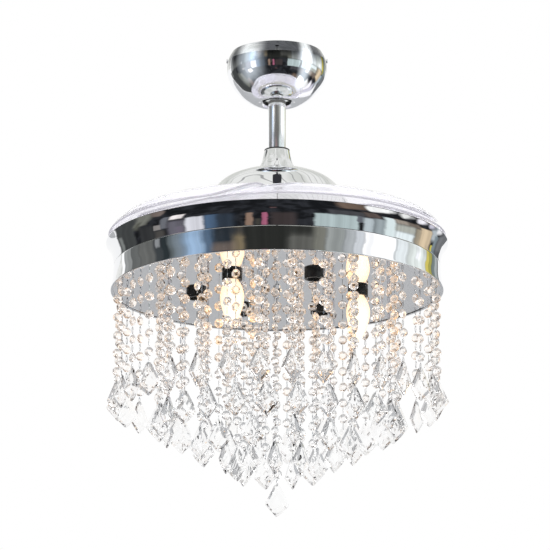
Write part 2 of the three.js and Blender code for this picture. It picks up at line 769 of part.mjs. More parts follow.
// A blade is a curved slab: a box with many faces, bent round the fan's axis.
function bladeGeometry() {
  const slab = new THREE.BoxGeometry(1, 2, 1, 20, 6, 1);
  const position = slab.attributes.position;
  const arc = rad(bladeArc + bladeTailArc);
  for (let i = 0; i < position.count; i += 1) {
    const along = (1 - Math.cos(Math.PI * (position.getX(i) + 0.5))) / 2;
    const angle = along * arc - rad(bladeTailArc);
    const halfWidth = bladeHalfWidthAt(along * arc * pivotRadius, (1 - along) * arc * pivotRadius);
    const across = (position.getY(i) * halfWidth) / bladeHalfWidth;
    const radius = pivotRadius + position.getY(i) * halfWidth;
    const thickness = (position.getZ(i) + 0.5) * bladeThickness;
    const height = ramp(angle) * bladeSection(across) + thickness;
    position.setXYZ(i, radius * Math.cos(angle), radius * Math.sin(angle), height);
  }
  // Length becomes angle and width becomes radius, which mirrors the slab, so its faces are turned.
  const index = slab.index.array;
  for (let i = 0; i < index.length; i += 3) [index[i], index[i + 1]] = [index[i + 1], index[i]];
  const hole = pinHole(bladeThickness * 4).translate(pivotRadius, 0, bladeThickness / 2);
  return cut(slab, [hole]);
}

const blade = bladeGeometry();
const pinFoot = carrierFoot - pinTail;
const pinHeadFoot = bladeFoot + bladeThickness + seatGap;
const pivotPin = revolve([
  [0, pinFoot], [pinRadius, pinFoot], [pinRadius, pinHeadFoot], [pinHeadRadius, pinHeadFoot],
  [pinHeadRadius, pinHeadFoot + pinHeadEdge],
  [pinCrownRadius, pinHeadFoot + pinHeadHeight], [0, pinHeadFoot + pinHeadHeight],
], 12);
bladeAngles.forEach((angle, i) => {
  const number = i + 1;
  const gearPhase = angle + Math.PI + (angle * ringGearTeeth) / pinionTeeth + Math.PI / pinionTeeth;
  add(drum, `blade_${number}`, blade.clone(), acrylic, [0, 0, bladeFoot], angle);
  add(drum, `pinion_${number}`, pinionGeometry.clone(), nylon,
    onCircle(pivotRadius, angle, pinionFoot), gearPhase);
  add(drum, `pivot_pin_${number}`, pivotPin.clone(), steel, onCircle(pivotRadius, angle));
});

// ---------------------------------------------------------------- chrome ring, pan and lamp plate

// The upper band flares to its rim. Its foot flange lies on the pan.
const waistInner = ringWaistRadius - bandWall;
const rimFlare = ringRimRadius - ringWaistRadius;
const upperProfile = smooth([
  [ringWaistRadius, panFoot],
  ...upperBandCurve.map(([out, up]) => [
    ringWaistRadius + rimFlare * out, panFoot + upperBandHeight * up]),
  [ringRimRadius, ringTop],
], 4);
const flangeFoot = panTop + seatGap;
const upperInner = upperProfile.slice(2).reverse().map(([r, z]) => [r - bandWall, z]);
add(
  drum, 'upper_band',
  revolve([...upperProfile, ...upperInner, [waistInner, flangeFoot + bandWall],
    [waistInner - bandFlange, flangeFoot + bandWall], [waistInner - bandFlange, flangeFoot],
    [waistInner, flangeFoot], [waistInner, panFoot]], 44), chrome,
);

// The lower band flares to its foot. Its top flange carries the pan, its foot lip the lamp plate.
const lowerMiddle = ringWaistRadius + (ringFootRadius - ringWaistRadius) * lowerBandCurve[0];
const lowerMiddleLevel = lowerBandHeight * lowerBandCurve[1];
const lowerInner = [
  [waistInner, lowerBandHeight - bandWall], [lowerMiddle - bandWall, lowerMiddleLevel],
  [ringFootRadius - bandWall, plateLipThickness],
];
add(
  drum, 'lower_band',
  revolve([
    [ringFootRadius, 0], [lowerMiddle, lowerMiddleLevel], [ringWaistRadius, lowerBandHeight],
    [waistInner - bandFlange, lowerBandHeight],
    [waistInner - bandFlange, lowerBandHeight - bandWall],
    ...lowerInner, [ringFootRadius - bandWall - plateLip, plateLipThickness],
    [ringFootRadius - bandWall - plateLip, 0],
  ], 44), chrome,
);

add(drum, 'drum_pan', tube(shaftRadius, waistInner - seatGap, panFoot, panTop, 44), steel);
const nutShape = new THREE.Shape(circle(nutRadius, 6));
nutShape.holes.push(new THREE.Path(circle(shaftRadius + seatGap, 18)));
const nut = new THREE.ExtrudeGeometry(nutShape, { depth: nutHeight, bevelEnabled: false });
add(drum, 'shaft_nut', nut, steel, [0, 0, panFoot - seatGap - nutHeight]);

const lampAngles = Array.from({ length: lampCount }, (_, i) =>
  rad(lampFirstAngle) + (i * 2 * Math.PI) / lampCount);
const plateRadius = radiusAt(lowerInner, plateTop) - seatGap;
const plateShape = new THREE.Shape(circle(plateRadius, 44));
lampAngles.forEach((angle) => {
  const [x, y] = onCircle(lampCircleRadius, angle);
  plateShape.holes.push(new THREE.Path(circle(holderRadius + seatGap, 12, x, y)));
});
add(
  drum, 'lamp_plate',
  new THREE.ExtrudeGeometry(plateShape, { depth: plateThickness, bevelEnabled: false }),
  mirror, [0, 0, plateFoot],
);

// ---------------------------------------------------------------- lamps

// A holder drops through the plate from above and hangs on its flange.
const holderMouth = plateFoot - holderProud;
const flangeSeat = plateTop + seatGap;
const holder = revolve([
  [holderMouthRadius, holderMouth], [holderRadius, holderMouth], [holderRadius, flangeSeat],
  [holderRadius + holderFlangeWidth, flangeSeat],
  [holderRadius + holderFlangeWidth, flangeSeat + holderFlangeHeight],
  [holderRadius - holderTopInset, holderMouth + holderHeight],
  [0, holderMouth + holderHeight], [0, holderMouth + holderSocketDepth],
  [holderSocketRadius, holderMouth + holderSocketDepth],
  [holderSocketRadius, holderMouth + holderMouthDepth],
  [holderMouthRadius, holderMouth + holderMouthDepth],
], 12);
const capTop = holderMouth + holderMouthDepth + bulbCapLength - bulbCapClearance;
const glassTop = capTop - bulbCapLength;
const bulb = revolve([
  [0, glassTop - bulbGlassLength],
  ...bulbCurve.map(([out, down]) => [bulbRadius * out, glassTop - bulbGlassLength * down]),
  [bulbCapRadius + bulbNeckFlare[0], glassTop - holderMouthDepth],
  [bulbCapRadius + bulbNeckFlare[1], glassTop], [bulbCapRadius, glassTop],
  [bulbCapRadius, capTop - bulbContactHeight], [bulbCapRadius / 2, capTop], [0, capTop],
], 12);
const lampPlaces = lampAngles.map((angle) => onCircle(lampCircleRadius, angle));
lampPlaces.forEach((place, i) => {
  add(drum, `lamp_holder_${i + 1}`, holder.clone(), blackPlastic, place);
});
litLamps.forEach((lamp, i) => {
  add(drum, `bulb_${i + 1}`, bulb.clone(), warmGlass, lampPlaces[lamp]);
});

// ---------------------------------------------------------------- crystal strings

// A string is a slim square chain of beads that ends in a flat kite pendant. It hangs from z = 0.
function crystalString(drop) {
  const pendantTop = -drop + pendantHeight;
  const string = revolve([
    [0, -drop], [pendantHalfWidth, -drop + pendantHeight * (1 - pendantShoulder)],
    [beadRadius, pendantTop], [beadRadius, -stringPoint], [0, 0],
  ], 4);
  const position = string.attributes.position;
  for (let i = 0; i < position.count; i += 1) {
    if (position.getZ(i) < pendantTop - 1) {
      position.setY(i, (position.getY(i) * pendantHalfThickness) / pendantHalfWidth);
    }
  }
  return string;
}

const railTop = plateFoot - seatGap;
const stringTop = railTop - stringInRail;
tiers.forEach(({ count, out, railOut, down, firstAngle }, i) => {
  const radius = ringFootRadius * out;
  const railRadius = ringFootRadius * railOut;
  const rail = tube(railRadius - railHalfWidth, railRadius + railHalfWidth,
    railTop - railThickness, railTop, Math.max(count, 18));
  const pieces = [rail];
  for (let k = 0; k < count; k += 1) {
    const angle = rad(firstAngle) + (k * 2 * Math.PI) / count;
    const faceOut = angle + Math.PI / 2;
    const string = crystalString(centreDrop * down + stringTop).rotateZ(faceOut);
    pieces.push(string.translate(...onCircle(radius, angle, stringTop)));
    if (railRadius !== radius) {
      pieces.push(box(railRadius, radius + railHalfWidth, -railHalfWidth, railHalfWidth,
        railTop - railThickness, railTop).rotateZ(angle));
    }
  }
  add(drum, `crystal_tier_${i + 1}`, join(pieces), crystal);
});

// The centre string swings in a link, which swings in an eye under the plate.
const ringWire = (radius) => new THREE.TorusGeometry(radius, linkWire, 5, 12);
const eyeLevel = railTop - hookPlateHeight - eyeRadius;
const hookPlate = disc(hookPlateRadius, railTop - hookPlateHeight, railTop, 12);
const eye = ringWire(eyeRadius).rotateX(Math.PI / 2).translate(0, 0, eyeLevel);
add(drum, 'centre_hook', join([hookPlate, eye]), chrome);
const linkLevel = eyeLevel - eyeRadius - linkRadius + 2 * linkWire + seatGap;
const link = ringWire(linkRadius).rotateY(Math.PI / 2);
add(drum, 'drop_link', link, chrome, [0, 0, linkLevel]);
const beadHoleRadius = linkWire * 2;
const beadHole = linkLevel - linkRadius + linkWire + 2 * seatGap - beadHoleRadius;
const topBeadCentre = beadHole - topBeadRadius + topBeadHoleOffset;
const topBead = new THREE.CylinderGeometry(topBeadRadius, topBeadRadius, topBeadThickness, 8)
  .rotateY(Math.PI / 8);
const topBeadHole = new THREE.CylinderGeometry(beadHoleRadius, beadHoleRadius,
  topBeadThickness + cutReach, 10).translate(0, 0, beadHole - topBeadCentre);
const topBeadBody = cut(topBead, [topBeadHole]);
const chainTop = topBeadCentre - topBeadRadius + topBeadOverlap;
const chain = crystalString(centreDrop + chainTop).translate(0, 0, chainTop);
add(drum, 'centre_drop', join([topBeadBody.translate(0, 0, topBeadCentre), chain]), crystal);

// ---------------------------------------------------------------- supply lead inside the rod

// The lead comes down the rod and the shaft, past both cross pins, and turns up to its block.
const shaftLane = -(shaftBoreRadius - leadRadius - runGap);
const rodLane = -(rodRadius - rodWall - leadRadius - runGap);
const blockTop = panFoot - seatGap;
const blockFoot = blockTop - leadBlockHeight;
const leadEntry = blockFoot + leadBlockHeight / 2;
const leadLow = shaftFoot - leadExitDrop;
const leadPath = new THREE.CatmullRomCurve3([
  [rodLane, rodTop - drumLevel - leadEnd],
  [rodLane, rodFoot + 2 * leadRodBendTop],
  [rodLane, rodFoot + leadRodBendTop],
  [shaftLane, rodFoot + leadRodBendFoot],
  [shaftLane, rodFoot - leadRodBendTop],
  [shaftLane, shaftFoot + leadRodBendTop],
  [shaftLane, shaftFoot + leadExitTurn],
  [shaftLane, shaftFoot - leadEnd],
  [shaftLane - leadExitTurn, leadLow],
  [-nutRadius, leadLow],
  [-leadBlockStart + 2 * leadExitTurn, leadEntry],
  [-leadBlockStart + seatGap, leadEntry],
].map(([y, z]) => new THREE.Vector3(0, y, z)), false, 'centripetal');
const leadSection = new THREE.Shape(circle(leadRadius, 8));
add(
  drum, 'supply_lead',
  new THREE.ExtrudeGeometry(leadSection, { extrudePath: leadPath, steps: 34, bevelEnabled: false }),
  blackPlastic,
);
add(
  drum, 'lamp_terminal_block',
  box(-leadBlockWidth / 2, leadBlockWidth / 2, -leadBlockStart - leadBlockLength, -leadBlockStart,
    blockFoot, blockTop), whitePlastic,
);

export default fan;
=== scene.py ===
"""Looks of the retractable blade ceiling fan with crystal strings.

Sizes are in millimetres and turned to metres where a mesh is made. Heights of the canopy and the
rod count from the ceiling, all others from the foot of the chrome ring.
"""
import math
import random

import bpy
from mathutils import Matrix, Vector


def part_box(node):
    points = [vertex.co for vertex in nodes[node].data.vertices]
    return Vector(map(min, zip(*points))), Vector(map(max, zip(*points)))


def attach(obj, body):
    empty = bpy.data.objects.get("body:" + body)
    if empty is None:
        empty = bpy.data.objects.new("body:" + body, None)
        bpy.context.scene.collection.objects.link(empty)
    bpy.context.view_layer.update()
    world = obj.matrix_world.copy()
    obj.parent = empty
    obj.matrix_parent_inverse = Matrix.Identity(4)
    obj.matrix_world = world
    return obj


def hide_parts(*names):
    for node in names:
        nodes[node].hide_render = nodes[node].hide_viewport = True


MM = 0.001
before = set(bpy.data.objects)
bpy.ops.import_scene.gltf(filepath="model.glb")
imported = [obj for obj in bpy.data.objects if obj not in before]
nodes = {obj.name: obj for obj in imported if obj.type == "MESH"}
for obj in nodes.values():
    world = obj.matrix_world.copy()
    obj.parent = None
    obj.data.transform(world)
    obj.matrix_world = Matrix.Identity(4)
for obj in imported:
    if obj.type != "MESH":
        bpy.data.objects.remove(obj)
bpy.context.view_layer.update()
rng = random.Random(7)

# ---------------------------------------------------------------- levels and places

drum_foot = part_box("lower_band")[0].z / MM
rod_low, rod_high = (corner.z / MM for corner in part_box("downrod"))
blade_foot = 75.0
plate_foot = 1.3
lamp_circle = 118.0
lamp_angles = [math.radians(-3 + 60 * i) for i in range(6)]
# The place of each lit lamp in the list of angles.
lit_lamps = {1: 0, 2: 4}


def round_axis(radius, angle, height=0.0):
    """A place at an angle round the fan's axis."""
    return radius * math.cos(angle), radius * math.sin(angle), height


# ---------------------------------------------------------------- modelling helpers


def start():
    """Nothing selected, so that the next operator acts on the new primitive alone."""
    if bpy.context.object and bpy.context.object.mode != "OBJECT":
        bpy.ops.object.mode_set(mode="OBJECT")
    bpy.ops.object.select_all(action="DESELECT")


def select_only(obj):
    start()
    obj.select_set(True)
    bpy.context.view_layer.objects.active = obj


def apply_modifiers(obj):
    select_only(obj)
    for modifier in list(obj.modifiers):
        bpy.ops.object.modifier_apply(modifier=modifier.name)


def settle(obj):
    """Puts the piece's place into its mesh."""
    select_only(obj)
    bpy.ops.object.transform_apply(location=True, rotation=True, scale=True)


def smooth(obj, angle=30):
    select_only(obj)
    bpy.ops.object.shade_smooth_by_angle(angle=math.radians(angle))


def bevel(obj, width, segments=2, angle=40):
    modifier = obj.modifiers.new("edge", "BEVEL")
    modifier.width = width * MM
    modifier.segments = segments
    modifier.limit_method = "ANGLE"
    modifier.angle_limit = math.radians(angle)
    apply_modifiers(obj)


def copy_of(obj, name, turn=0.0, move=(0.0, 0.0, 0.0)):
    """A copy with its own mesh, turned about the fan's axis and then moved, in millimetres."""
    made = obj.copy()
    made.data = obj.data.copy()
    made.name = made.data.name = name
    bpy.context.scene.collection.objects.link(made)
    made.rotation_euler = (0, 0, turn)
    made.location = Vector(move) * MM
    settle(made)
    return made


def joined(objects, name):
    start()
    for obj in objects:
        obj.select_set(True)
    bpy.context.view_layer.objects.active = objects[0]
    bpy.ops.object.join()
    made = bpy.context.object
    made.name = made.data.name = name
    settle(made)
    return made


def curve_through(points, count):
    """Points along a smooth curve through the given ones."""
    last = len(points) - 1
    made = []
    for step in range(count + 1):
        place = step / count * last
        i = min(int(place), last)
        t = place - i
        p0, p1 = points[max(i - 1, 0)], points[i]
        p2, p3 = points[min(i + 1, last)], points[min(i + 2, last)]
        made.append(tuple(
            b + ((c - a) / 2) * t
            + (-3 * b + 3 * c - (c - a) - (d - b) / 2) * t * t
            + (2 * b - 2 * c + (c - a) / 2 + (d - b) / 2) * t ** 3
            for a, b, c, d in zip(p0, p1, p2, p3)
        ))
    return made


def turned(name, profile, sides=96, base=0.0, closed=False):
    """A turned piece: a circle, extruded and scaled from one profile point to the next."""
    radius, height = profile[0]
    least, weld = 0.001, 0.01
    start()
    bpy.ops.mesh.primitive_circle_add(
        vertices=sides, radius=max(radius, least) * MM, fill_type="NOTHING",
        location=(0, 0, (base + height) * MM),
    )
    obj = bpy.context.object
    obj.name = obj.data.name = name
    bpy.ops.object.mode_set(mode="EDIT")
    bpy.ops.mesh.select_all(action="SELECT")
    points = profile + profile[:1] if closed else profile
    for (r0, z0), (r1, z1) in zip(points, points[1:]):
        share = max(r1, least) / max(r0, least)
        centre = (0, 0, (base + z1) * MM)
        bpy.ops.mesh.extrude_region_move(
            TRANSFORM_OT_translate={"value": (0, 0, (z1 - z0) * MM)})
        bpy.ops.transform.resize(value=(share, share, 1), center_override=centre)
    bpy.ops.mesh.select_all(action="SELECT")
    bpy.ops.mesh.remove_doubles(threshold=weld * MM)
    bpy.ops.mesh.normals_make_consistent(inside=False)
    bpy.ops.object.mode_set(mode="OBJECT")
    settle(obj)
    return obj


def flat_ring(name, inner, outer, low, high, base=0.0):
    """A tube with square edges."""
    profile = [(inner, low), (outer, low), (outer, high), (inner, high)]
    return turned(name, profile, 64, base, closed=True)


def walled(obj, wall):
    modifier = obj.modifiers.new("wall", "SOLIDIFY")
    modifier.thickness = wall * MM
    modifier.offset = -1
    modifier.use_even_offset = True
    apply_modifiers(obj)
    return obj


def finish_piece(obj, body, material, slot, *stands_for):
    """Gives the piece its material and body, and hides the nodes that it stands for. The slot is
    not used.
    """
    obj.data.materials.clear()
    obj.data.materials.append(material)
    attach(obj, body)
    if stands_for:
        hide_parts(*stands_for)


# ---------------------------------------------------------------- material helpers


def new_group(name, inputs, outputs):
    """A node group with named sockets, and its input and output nodes."""
    tree = bpy.data.node_groups.new(name, "ShaderNodeTree")
    for label, kind, value in inputs:
        socket = tree.interface.new_socket(label, in_out="INPUT", socket_type=kind)
        if value is not None:
            socket.default_value = value
    for label, kind in outputs:
        tree.interface.new_socket(label, in_out="OUTPUT", socket_type=kind)
    return tree, tree.nodes.new("NodeGroupInput"), tree.nodes.new("NodeGroupOutput")


def feed(tree, socket, value):
    """Gives a socket a plain value or the output of another node."""
    if isinstance(value, (int, float, tuple)):
        socket.default_value = value
    else:
        tree.links.new(value, socket)


def noise(tree, vector, scale, detail=3.0, roughness=0.5):
    node = tree.nodes.new("ShaderNodeTexNoise")
    values = {"Vector": vector, "Scale": scale, "Detail": detail, "Roughness": roughness}
    for label, value in values.items():
        feed(tree, node.inputs[label], value)
    return node.outputs["Fac"]


def math_node(tree, operation, *values):
    node = tree.nodes.new("ShaderNodeMath")
    node.operation = operation
    for socket, value in zip(node.inputs, values):
        feed(tree, socket, value)
    return node.outputs[0]


def vector_node(tree, operation, *values):
    node = tree.nodes.new("ShaderNodeVectorMath")
    node.operation = operation
    for socket, value in zip(node.inputs, values):
        feed(tree, socket, value)
    return node


def between(tree, value, from_low, from_high, to_low, to_high):
    """A value taken smoothly from one range to another."""
    node = tree.nodes.new("ShaderNodeMapRange")
    node.interpolation_type = "SMOOTHSTEP"
    labels = ("Value", "From Min", "From Max", "To Min", "To Max")
    for label, given in zip(labels, (value, from_low, from_high, to_low, to_high)):
        feed(tree, node.inputs[label], given)
    return node.outputs["Result"]


def mixed(tree, share, first, second):
    """Two colours mixed by a share of the second."""
    node = tree.nodes.new("ShaderNodeMix")
    node.data_type = "RGBA"
    for place, value in ((0, share), (6, first), (7, second)):
        feed(tree, node.inputs[place], value)
    return node.outputs[2]


def parts_of(tree, vector):
    """The X, Y and Z of a vector."""
    node = tree.nodes.new("ShaderNodeSeparateXYZ")
    tree.links.new(vector, node.inputs[0])
    return node.outputs


def bearing_of(tree, across, front):
    """Degrees round the fan's axis from its front."""
    return math_node(tree, "DEGREES", math_node(tree, "ARCTAN2", across, front))


def bumped(tree, height, strength, distance):
    node = tree.nodes.new("ShaderNodeBump")
    node.inputs["Strength"].default_value = strength
    node.inputs["Distance"].default_value = distance * MM
    tree.links.new(height, node.inputs["Height"])
    return node.outputs[0]


def group_node(tree, group, place):
    """A node of a group that works from the place on the piece."""
    node = tree.nodes.new("ShaderNodeGroup")
    node.node_tree = group
    tree.links.new(place, node.inputs["Vector"])
    return node


def node_of(made, kind):
    """The first node of a kind in a material."""
    return next(node for node in made.node_tree.nodes if node.type == kind)


surface_outputs = [("Colour", "NodeSocketColor"), ("Roughness", "NodeSocketFloat"),
                   ("Height", "NodeSocketFloat")]


def make_polish_marks():
    """Wiping smears, finger haze and hairline scratches of a polished surface."""
    tree, given, out = new_group(
        "polish_marks",
        [("Vector", "NodeSocketVector", None), ("Colour", "NodeSocketColor", (0.85, 0.86, 0.88, 1)),
         ("Haze", "NodeSocketColor", (0.7, 0.7, 0.72, 1)), ("Scale", "NodeSocketFloat", 12.0),
         ("Least roughness", "NodeSocketFloat", 0.02), ("Most roughness", "NodeSocketFloat", 0.1)],
        surface_outputs,
    )
    place = given.outputs["Vector"]
    smear = noise(tree, place, given.outputs["Scale"], 4.0, 0.6)
    fine = noise(tree, place, 240.0, 2.0, 0.5)
    haze = between(tree, smear, 0.45, 0.75, 0.0, 1.0)
    wiped = math_node(tree, "MULTIPLY_ADD", fine, 0.3, math_node(tree, "MULTIPLY", haze, 0.7))
    rough = between(tree, wiped, 0.1, 0.9, given.outputs["Least roughness"],
                    given.outputs["Most roughness"])
    tree.links.new(mixed(tree, math_node(tree, "MULTIPLY", haze, 0.25),
                         given.outputs["Colour"], given.outputs["Haze"]), out.inputs["Colour"])
    tree.links.new(rough, out.inputs["Roughness"])
    tree.links.new(smear, out.inputs["Height"])
    return tree


def make_worked_grain():
    """Stretched grain of drawn, turned or cast metal and of moulded plastic."""
    tree, given, out = new_group(
        "worked_grain",
        [("Vector", "NodeSocketVector", None), ("Colour", "NodeSocketColor", (0.6, 0.6, 0.6, 1)),
         ("Dark", "NodeSocketColor", (0.4, 0.4, 0.4, 1)),
         ("Stretch", "NodeSocketVector", (1, 1, 1)), ("Scale", "NodeSocketFloat", 200.0),
         ("Least roughness", "NodeSocketFloat", 0.3), ("Most roughness", "NodeSocketFloat", 0.5)],
        surface_outputs,
    )
    stretched = vector_node(tree, "MULTIPLY", given.outputs["Vector"], given.outputs["Stretch"])
    grain = noise(tree, stretched.outputs[0], given.outputs["Scale"], 3.0, 0.6)
    patches = noise(tree, given.outputs["Vector"], 18.0, 2.0, 0.5)
    share = math_node(tree, "MULTIPLY_ADD", grain, 0.5, math_node(tree, "MULTIPLY", patches, 0.5))
    worn = between(tree, share, 0.3, 0.7, 0.0, 1.0)
    tree.links.new(mixed(tree, worn, given.outputs["Dark"], given.outputs["Colour"]),
                   out.inputs["Colour"])
    tree.links.new(between(tree, share, 0.2, 0.8, given.outputs["Most roughness"],
                           given.outputs["Least roughness"]), out.inputs["Roughness"])
    tree.links.new(grain, out.inputs["Height"])
    return tree


polish_marks = make_polish_marks()
worked_grain = make_worked_grain()
bump_strength = 0.3


def material(name, group, values, metallic=0.0, bump=0.0, **shader_values):
    """A Principled material fed by one of the surface groups."""
    made = bpy.data.materials.new(name)
    made.use_nodes = True
    tree = made.node_tree
    tree.nodes.clear()
    out = tree.nodes.new("ShaderNodeOutputMaterial")
    shader = tree.nodes.new("ShaderNodeBsdfPrincipled")
    tree.links.new(shader.outputs[0], out.inputs["Surface"])
    place = tree.nodes.new("ShaderNodeTexCoord")
    surface = group_node(tree, group, place.outputs["Object"])
    for label, value in values.items():
        surface.inputs[label].default_value = value
    tree.links.new(surface.outputs["Colour"], shader.inputs["Base Color"])
    tree.links.new(surface.outputs["Roughness"], shader.inputs["Roughness"])
    shader.inputs["Metallic"].default_value = metallic
    for label, value in shader_values.items():
        shader.inputs[label.replace("_", " ").title().replace("Ior", "IOR")].default_value = value
    if bump:
        relief = bumped(tree, surface.outputs["Height"], bump_strength, bump)
        tree.links.new(relief, shader.inputs["Normal"])
    return made


def grey(level, blue=0.0):
    return (level, level, level + blue, 1)


def polished(name, colour, haze, scale, least, most, **others):
    return material(name, polish_marks,
                    {"Colour": colour, "Haze": haze, "Scale": scale,
                     "Least roughness": least, "Most roughness": most}, **others)


def chrome(name, scale, least, most, bump=0.02, level=0.86, **others):
    return polished(name, (level, level + 0.01, level + 0.03, 1), (0.74, 0.75, 0.77, 1), scale,
                    least, most, metallic=1.0, bump=bump, **others)


def metal(name, colour, dark, scale, stretch, least, most):
    return material(name, worked_grain,
                    {"Colour": colour, "Dark": dark, "Stretch": stretch, "Scale": scale,
                     "Least roughness": least, "Most roughness": most}, metallic=1.0, bump=0.03)


def moulded(name, colour, dark, least, most):
    return material(name, worked_grain,
                    {"Colour": colour, "Dark": dark, "Scale": 900.0,
                     "Least roughness": least, "Most roughness": most}, bump=0.03)


black = (0, 0, 0, 1)
# The canopy's chrome carries a painted reflection: a dark band of the room and two window
# highlights painted as a glow.
canopy_chrome_painted_reflection = chrome("canopy_chrome_painted_reflection", 22.0, 0.06, 0.16, 0.15, 0.92, emission_strength=1.0)
# Bearing of each painted window highlight on the canopy in degrees, its half width, its foot and
# top in metres, and its light.
canopy_painted_highlights = ((-34, 24, -0.044, -0.008, 0.55), (36, 12, -0.052, -0.004, 0.8))
painted_reflection_dark, painted_window_highlight = (0.06, 0.065, 0.08, 1), (0.82, 0.91, 1.0, 1)
# Metres under the ceiling where the painted dark reflection begins and where it is full, and its
# share there.
painted_dark_from, painted_dark_full, painted_dark_share = -0.026, -0.006, 0.93
# Share of the painted dark reflection kept at the back of the canopy.
painted_dark_behind = 0.25
# Noise that makes the edge of the painted dark reflection waver.
cloud_scale, cloud_rise = 45.0, 0.016


def paint_rim_reflection(made):
    """Painted reflection on the canopy's front: the dim room painted dark, darker towards the
    ceiling, and two soft windows painted as glowing highlights.
    """
    tree = made.node_tree
    shader = node_of(made, "BSDF_PRINCIPLED")
    group, given, out = new_group("painted_rim_reflection", [("Vector", "NodeSocketVector", None)],
                                  [("Share", "NodeSocketFloat"), ("Glow", "NodeSocketColor")])
    across, depth, level = parts_of(group, given.outputs["Vector"])
    cloud = noise(group, given.outputs["Vector"], cloud_scale, 2.0)
    raised = math_node(group, "ADD", level, math_node(group, "MULTIPLY", cloud, cloud_rise))
    high = between(group, raised, painted_dark_from, painted_dark_full, 0.0, painted_dark_share)
    front = math_node(group, "MULTIPLY", depth, -1.0)
    bearing = bearing_of(group, across, front)
    share = math_node(group, "MULTIPLY", high, between(group, front, 0.01, 0.04, painted_dark_behind, 1.0))
    glow = None
    for window, reach, foot, top, light in canopy_painted_highlights:
        aside = math_node(group, "ABSOLUTE", math_node(group, "SUBTRACT", bearing, window))
        share = math_node(group, "MULTIPLY", share, between(group, aside, 1, reach, 0.08, 1.0))
        pane = between(group, aside, 1, reach, light, 0.0)
        for edge in (between(group, raised, foot - 0.012, foot + 0.006, 0, 1),
                     between(group, raised, top - 0.006, top + 0.01, 1, 0.3)):
            pane = math_node(group, "MULTIPLY", pane, edge)
        glow = math_node(group, "ADD", glow, pane) if glow else pane
    group.links.new(share, out.inputs["Share"])
    group.links.new(mixed(group, glow, black, painted_window_highlight), out.inputs["Glow"])
    surface = node_of(made, "GROUP")
    rim = group_node(tree, group, node_of(made, "TEX_COORD").outputs["Object"])
    # The painted dark reflection is mixed into the chrome's colour; the painted window highlights
    # go in as glow.
    tree.links.new(mixed(tree, rim.outputs["Share"], surface.outputs["Colour"], painted_reflection_dark),
                   shader.inputs["Base Color"])
    tree.links.new(rim.outputs["Glow"], shader.inputs["Emission Color"])


paint_rim_reflection(canopy_chrome_painted_reflection)
# A faint white glow is painted on the rod to make it look lighter.
rod_chrome_painted_glow = chrome("rod_chrome_painted_glow", 30.0, 0.14, 0.22, 0.02, 0.92,
                    emission_color=(1, 1, 0.98, 1), emission_strength=0.12)
dome_chrome = chrome("dome_chrome", 9.0, 0.02, 0.07)
ring_chrome = chrome("ring_chrome", 7.0, 0.01, 0.06)
wire_chrome = chrome("wire_chrome", 60.0, 0.04, 0.12)
plate_mirror = polished("plate_mirror", (0.93, 0.93, 0.94, 1), (0.88, 0.88, 0.9, 1), 6.0,
                        0.01, 0.06, metallic=1.0)
plated_sheet = metal("plated_sheet", grey(0.62, 0.01), grey(0.5), 160.0, (1, 12, 1), 0.3, 0.45)
turned_steel = metal("turned_steel", grey(0.66), grey(0.52), 260.0, (1, 1, 14), 0.2, 0.35)
core_steel = metal("core_steel", grey(0.4), grey(0.26), 220.0, (1, 1, 30), 0.4, 0.6)
blued_spring = metal("blued_spring", (0.3, 0.32, 0.38, 1), grey(0.2), 150.0, (1, 1, 20), 0.3, 0.45)
copper_wire = metal("copper_wire", (0.72, 0.38, 0.2, 1), (0.45, 0.2, 0.1, 1), 420.0, (1, 1, 6),
                    0.3, 0.5)
ferrite = moulded("ferrite", grey(0.09), grey(0.05), 0.5, 0.7)
cast_aluminium = metal("cast_aluminium", grey(0.72), grey(0.6), 130.0, (1, 1, 1), 0.35, 0.5)
natural_nylon = moulded("natural_nylon", (0.85, 0.83, 0.76, 1), (0.78, 0.75, 0.66, 1), 0.4, 0.55)
black_plastic = moulded("black_plastic", grey(0.022), grey(0.012), 0.3, 0.45)
white_plastic = moulded("white_plastic", grey(0.8), grey(0.74), 0.4, 0.55)
black_rubber = moulded("black_rubber", grey(0.03), grey(0.018), 0.6, 0.8)
lead_skin = moulded("lead_skin", grey(0.035), grey(0.02), 0.5, 0.6)
# A faint lilac glow is painted into the clear blades.
acrylic = polished("clear_acrylic", (0.93, 0.925, 0.955, 1), (0.86, 0.86, 0.9, 1), 5.0, 0.01, 0.07,
                   transmission_weight=0.92, ior=1.42,
                   emission_color=(0.93, 0.91, 1.0, 1), emission_strength=0.09)
# The crystals glow where warm glints of the lamps are painted on them.
cut_crystal = polished("cut_crystal", (1.0, 1.0, 1.0, 1), (1.0, 0.985, 0.97, 1), 40.0, 0.0, 0.03,
                       transmission_weight=1.0, ior=1.43, emission_strength=1.0)
socket_brass = metal("socket_brass", (0.78, 0.62, 0.32, 1), (0.6, 0.45, 0.2, 1), 300.0, (1, 1, 8),
                     0.25, 0.4)
# Painted lamp light: a warm tint on the crystals by the lit lamps, and the colour of their painted
# glints.
painted_lamp_tint = (1.0, 0.86, 0.72, 1)
painted_glint_amber = (1.0, 0.58, 0.26, 1)
facet_scale, facet_strength, facet_depth = 95.0, 0.12, 0.6
glint_light = 0.5
glint_scale = 170.0
lamp_middle = drum_foot - 45


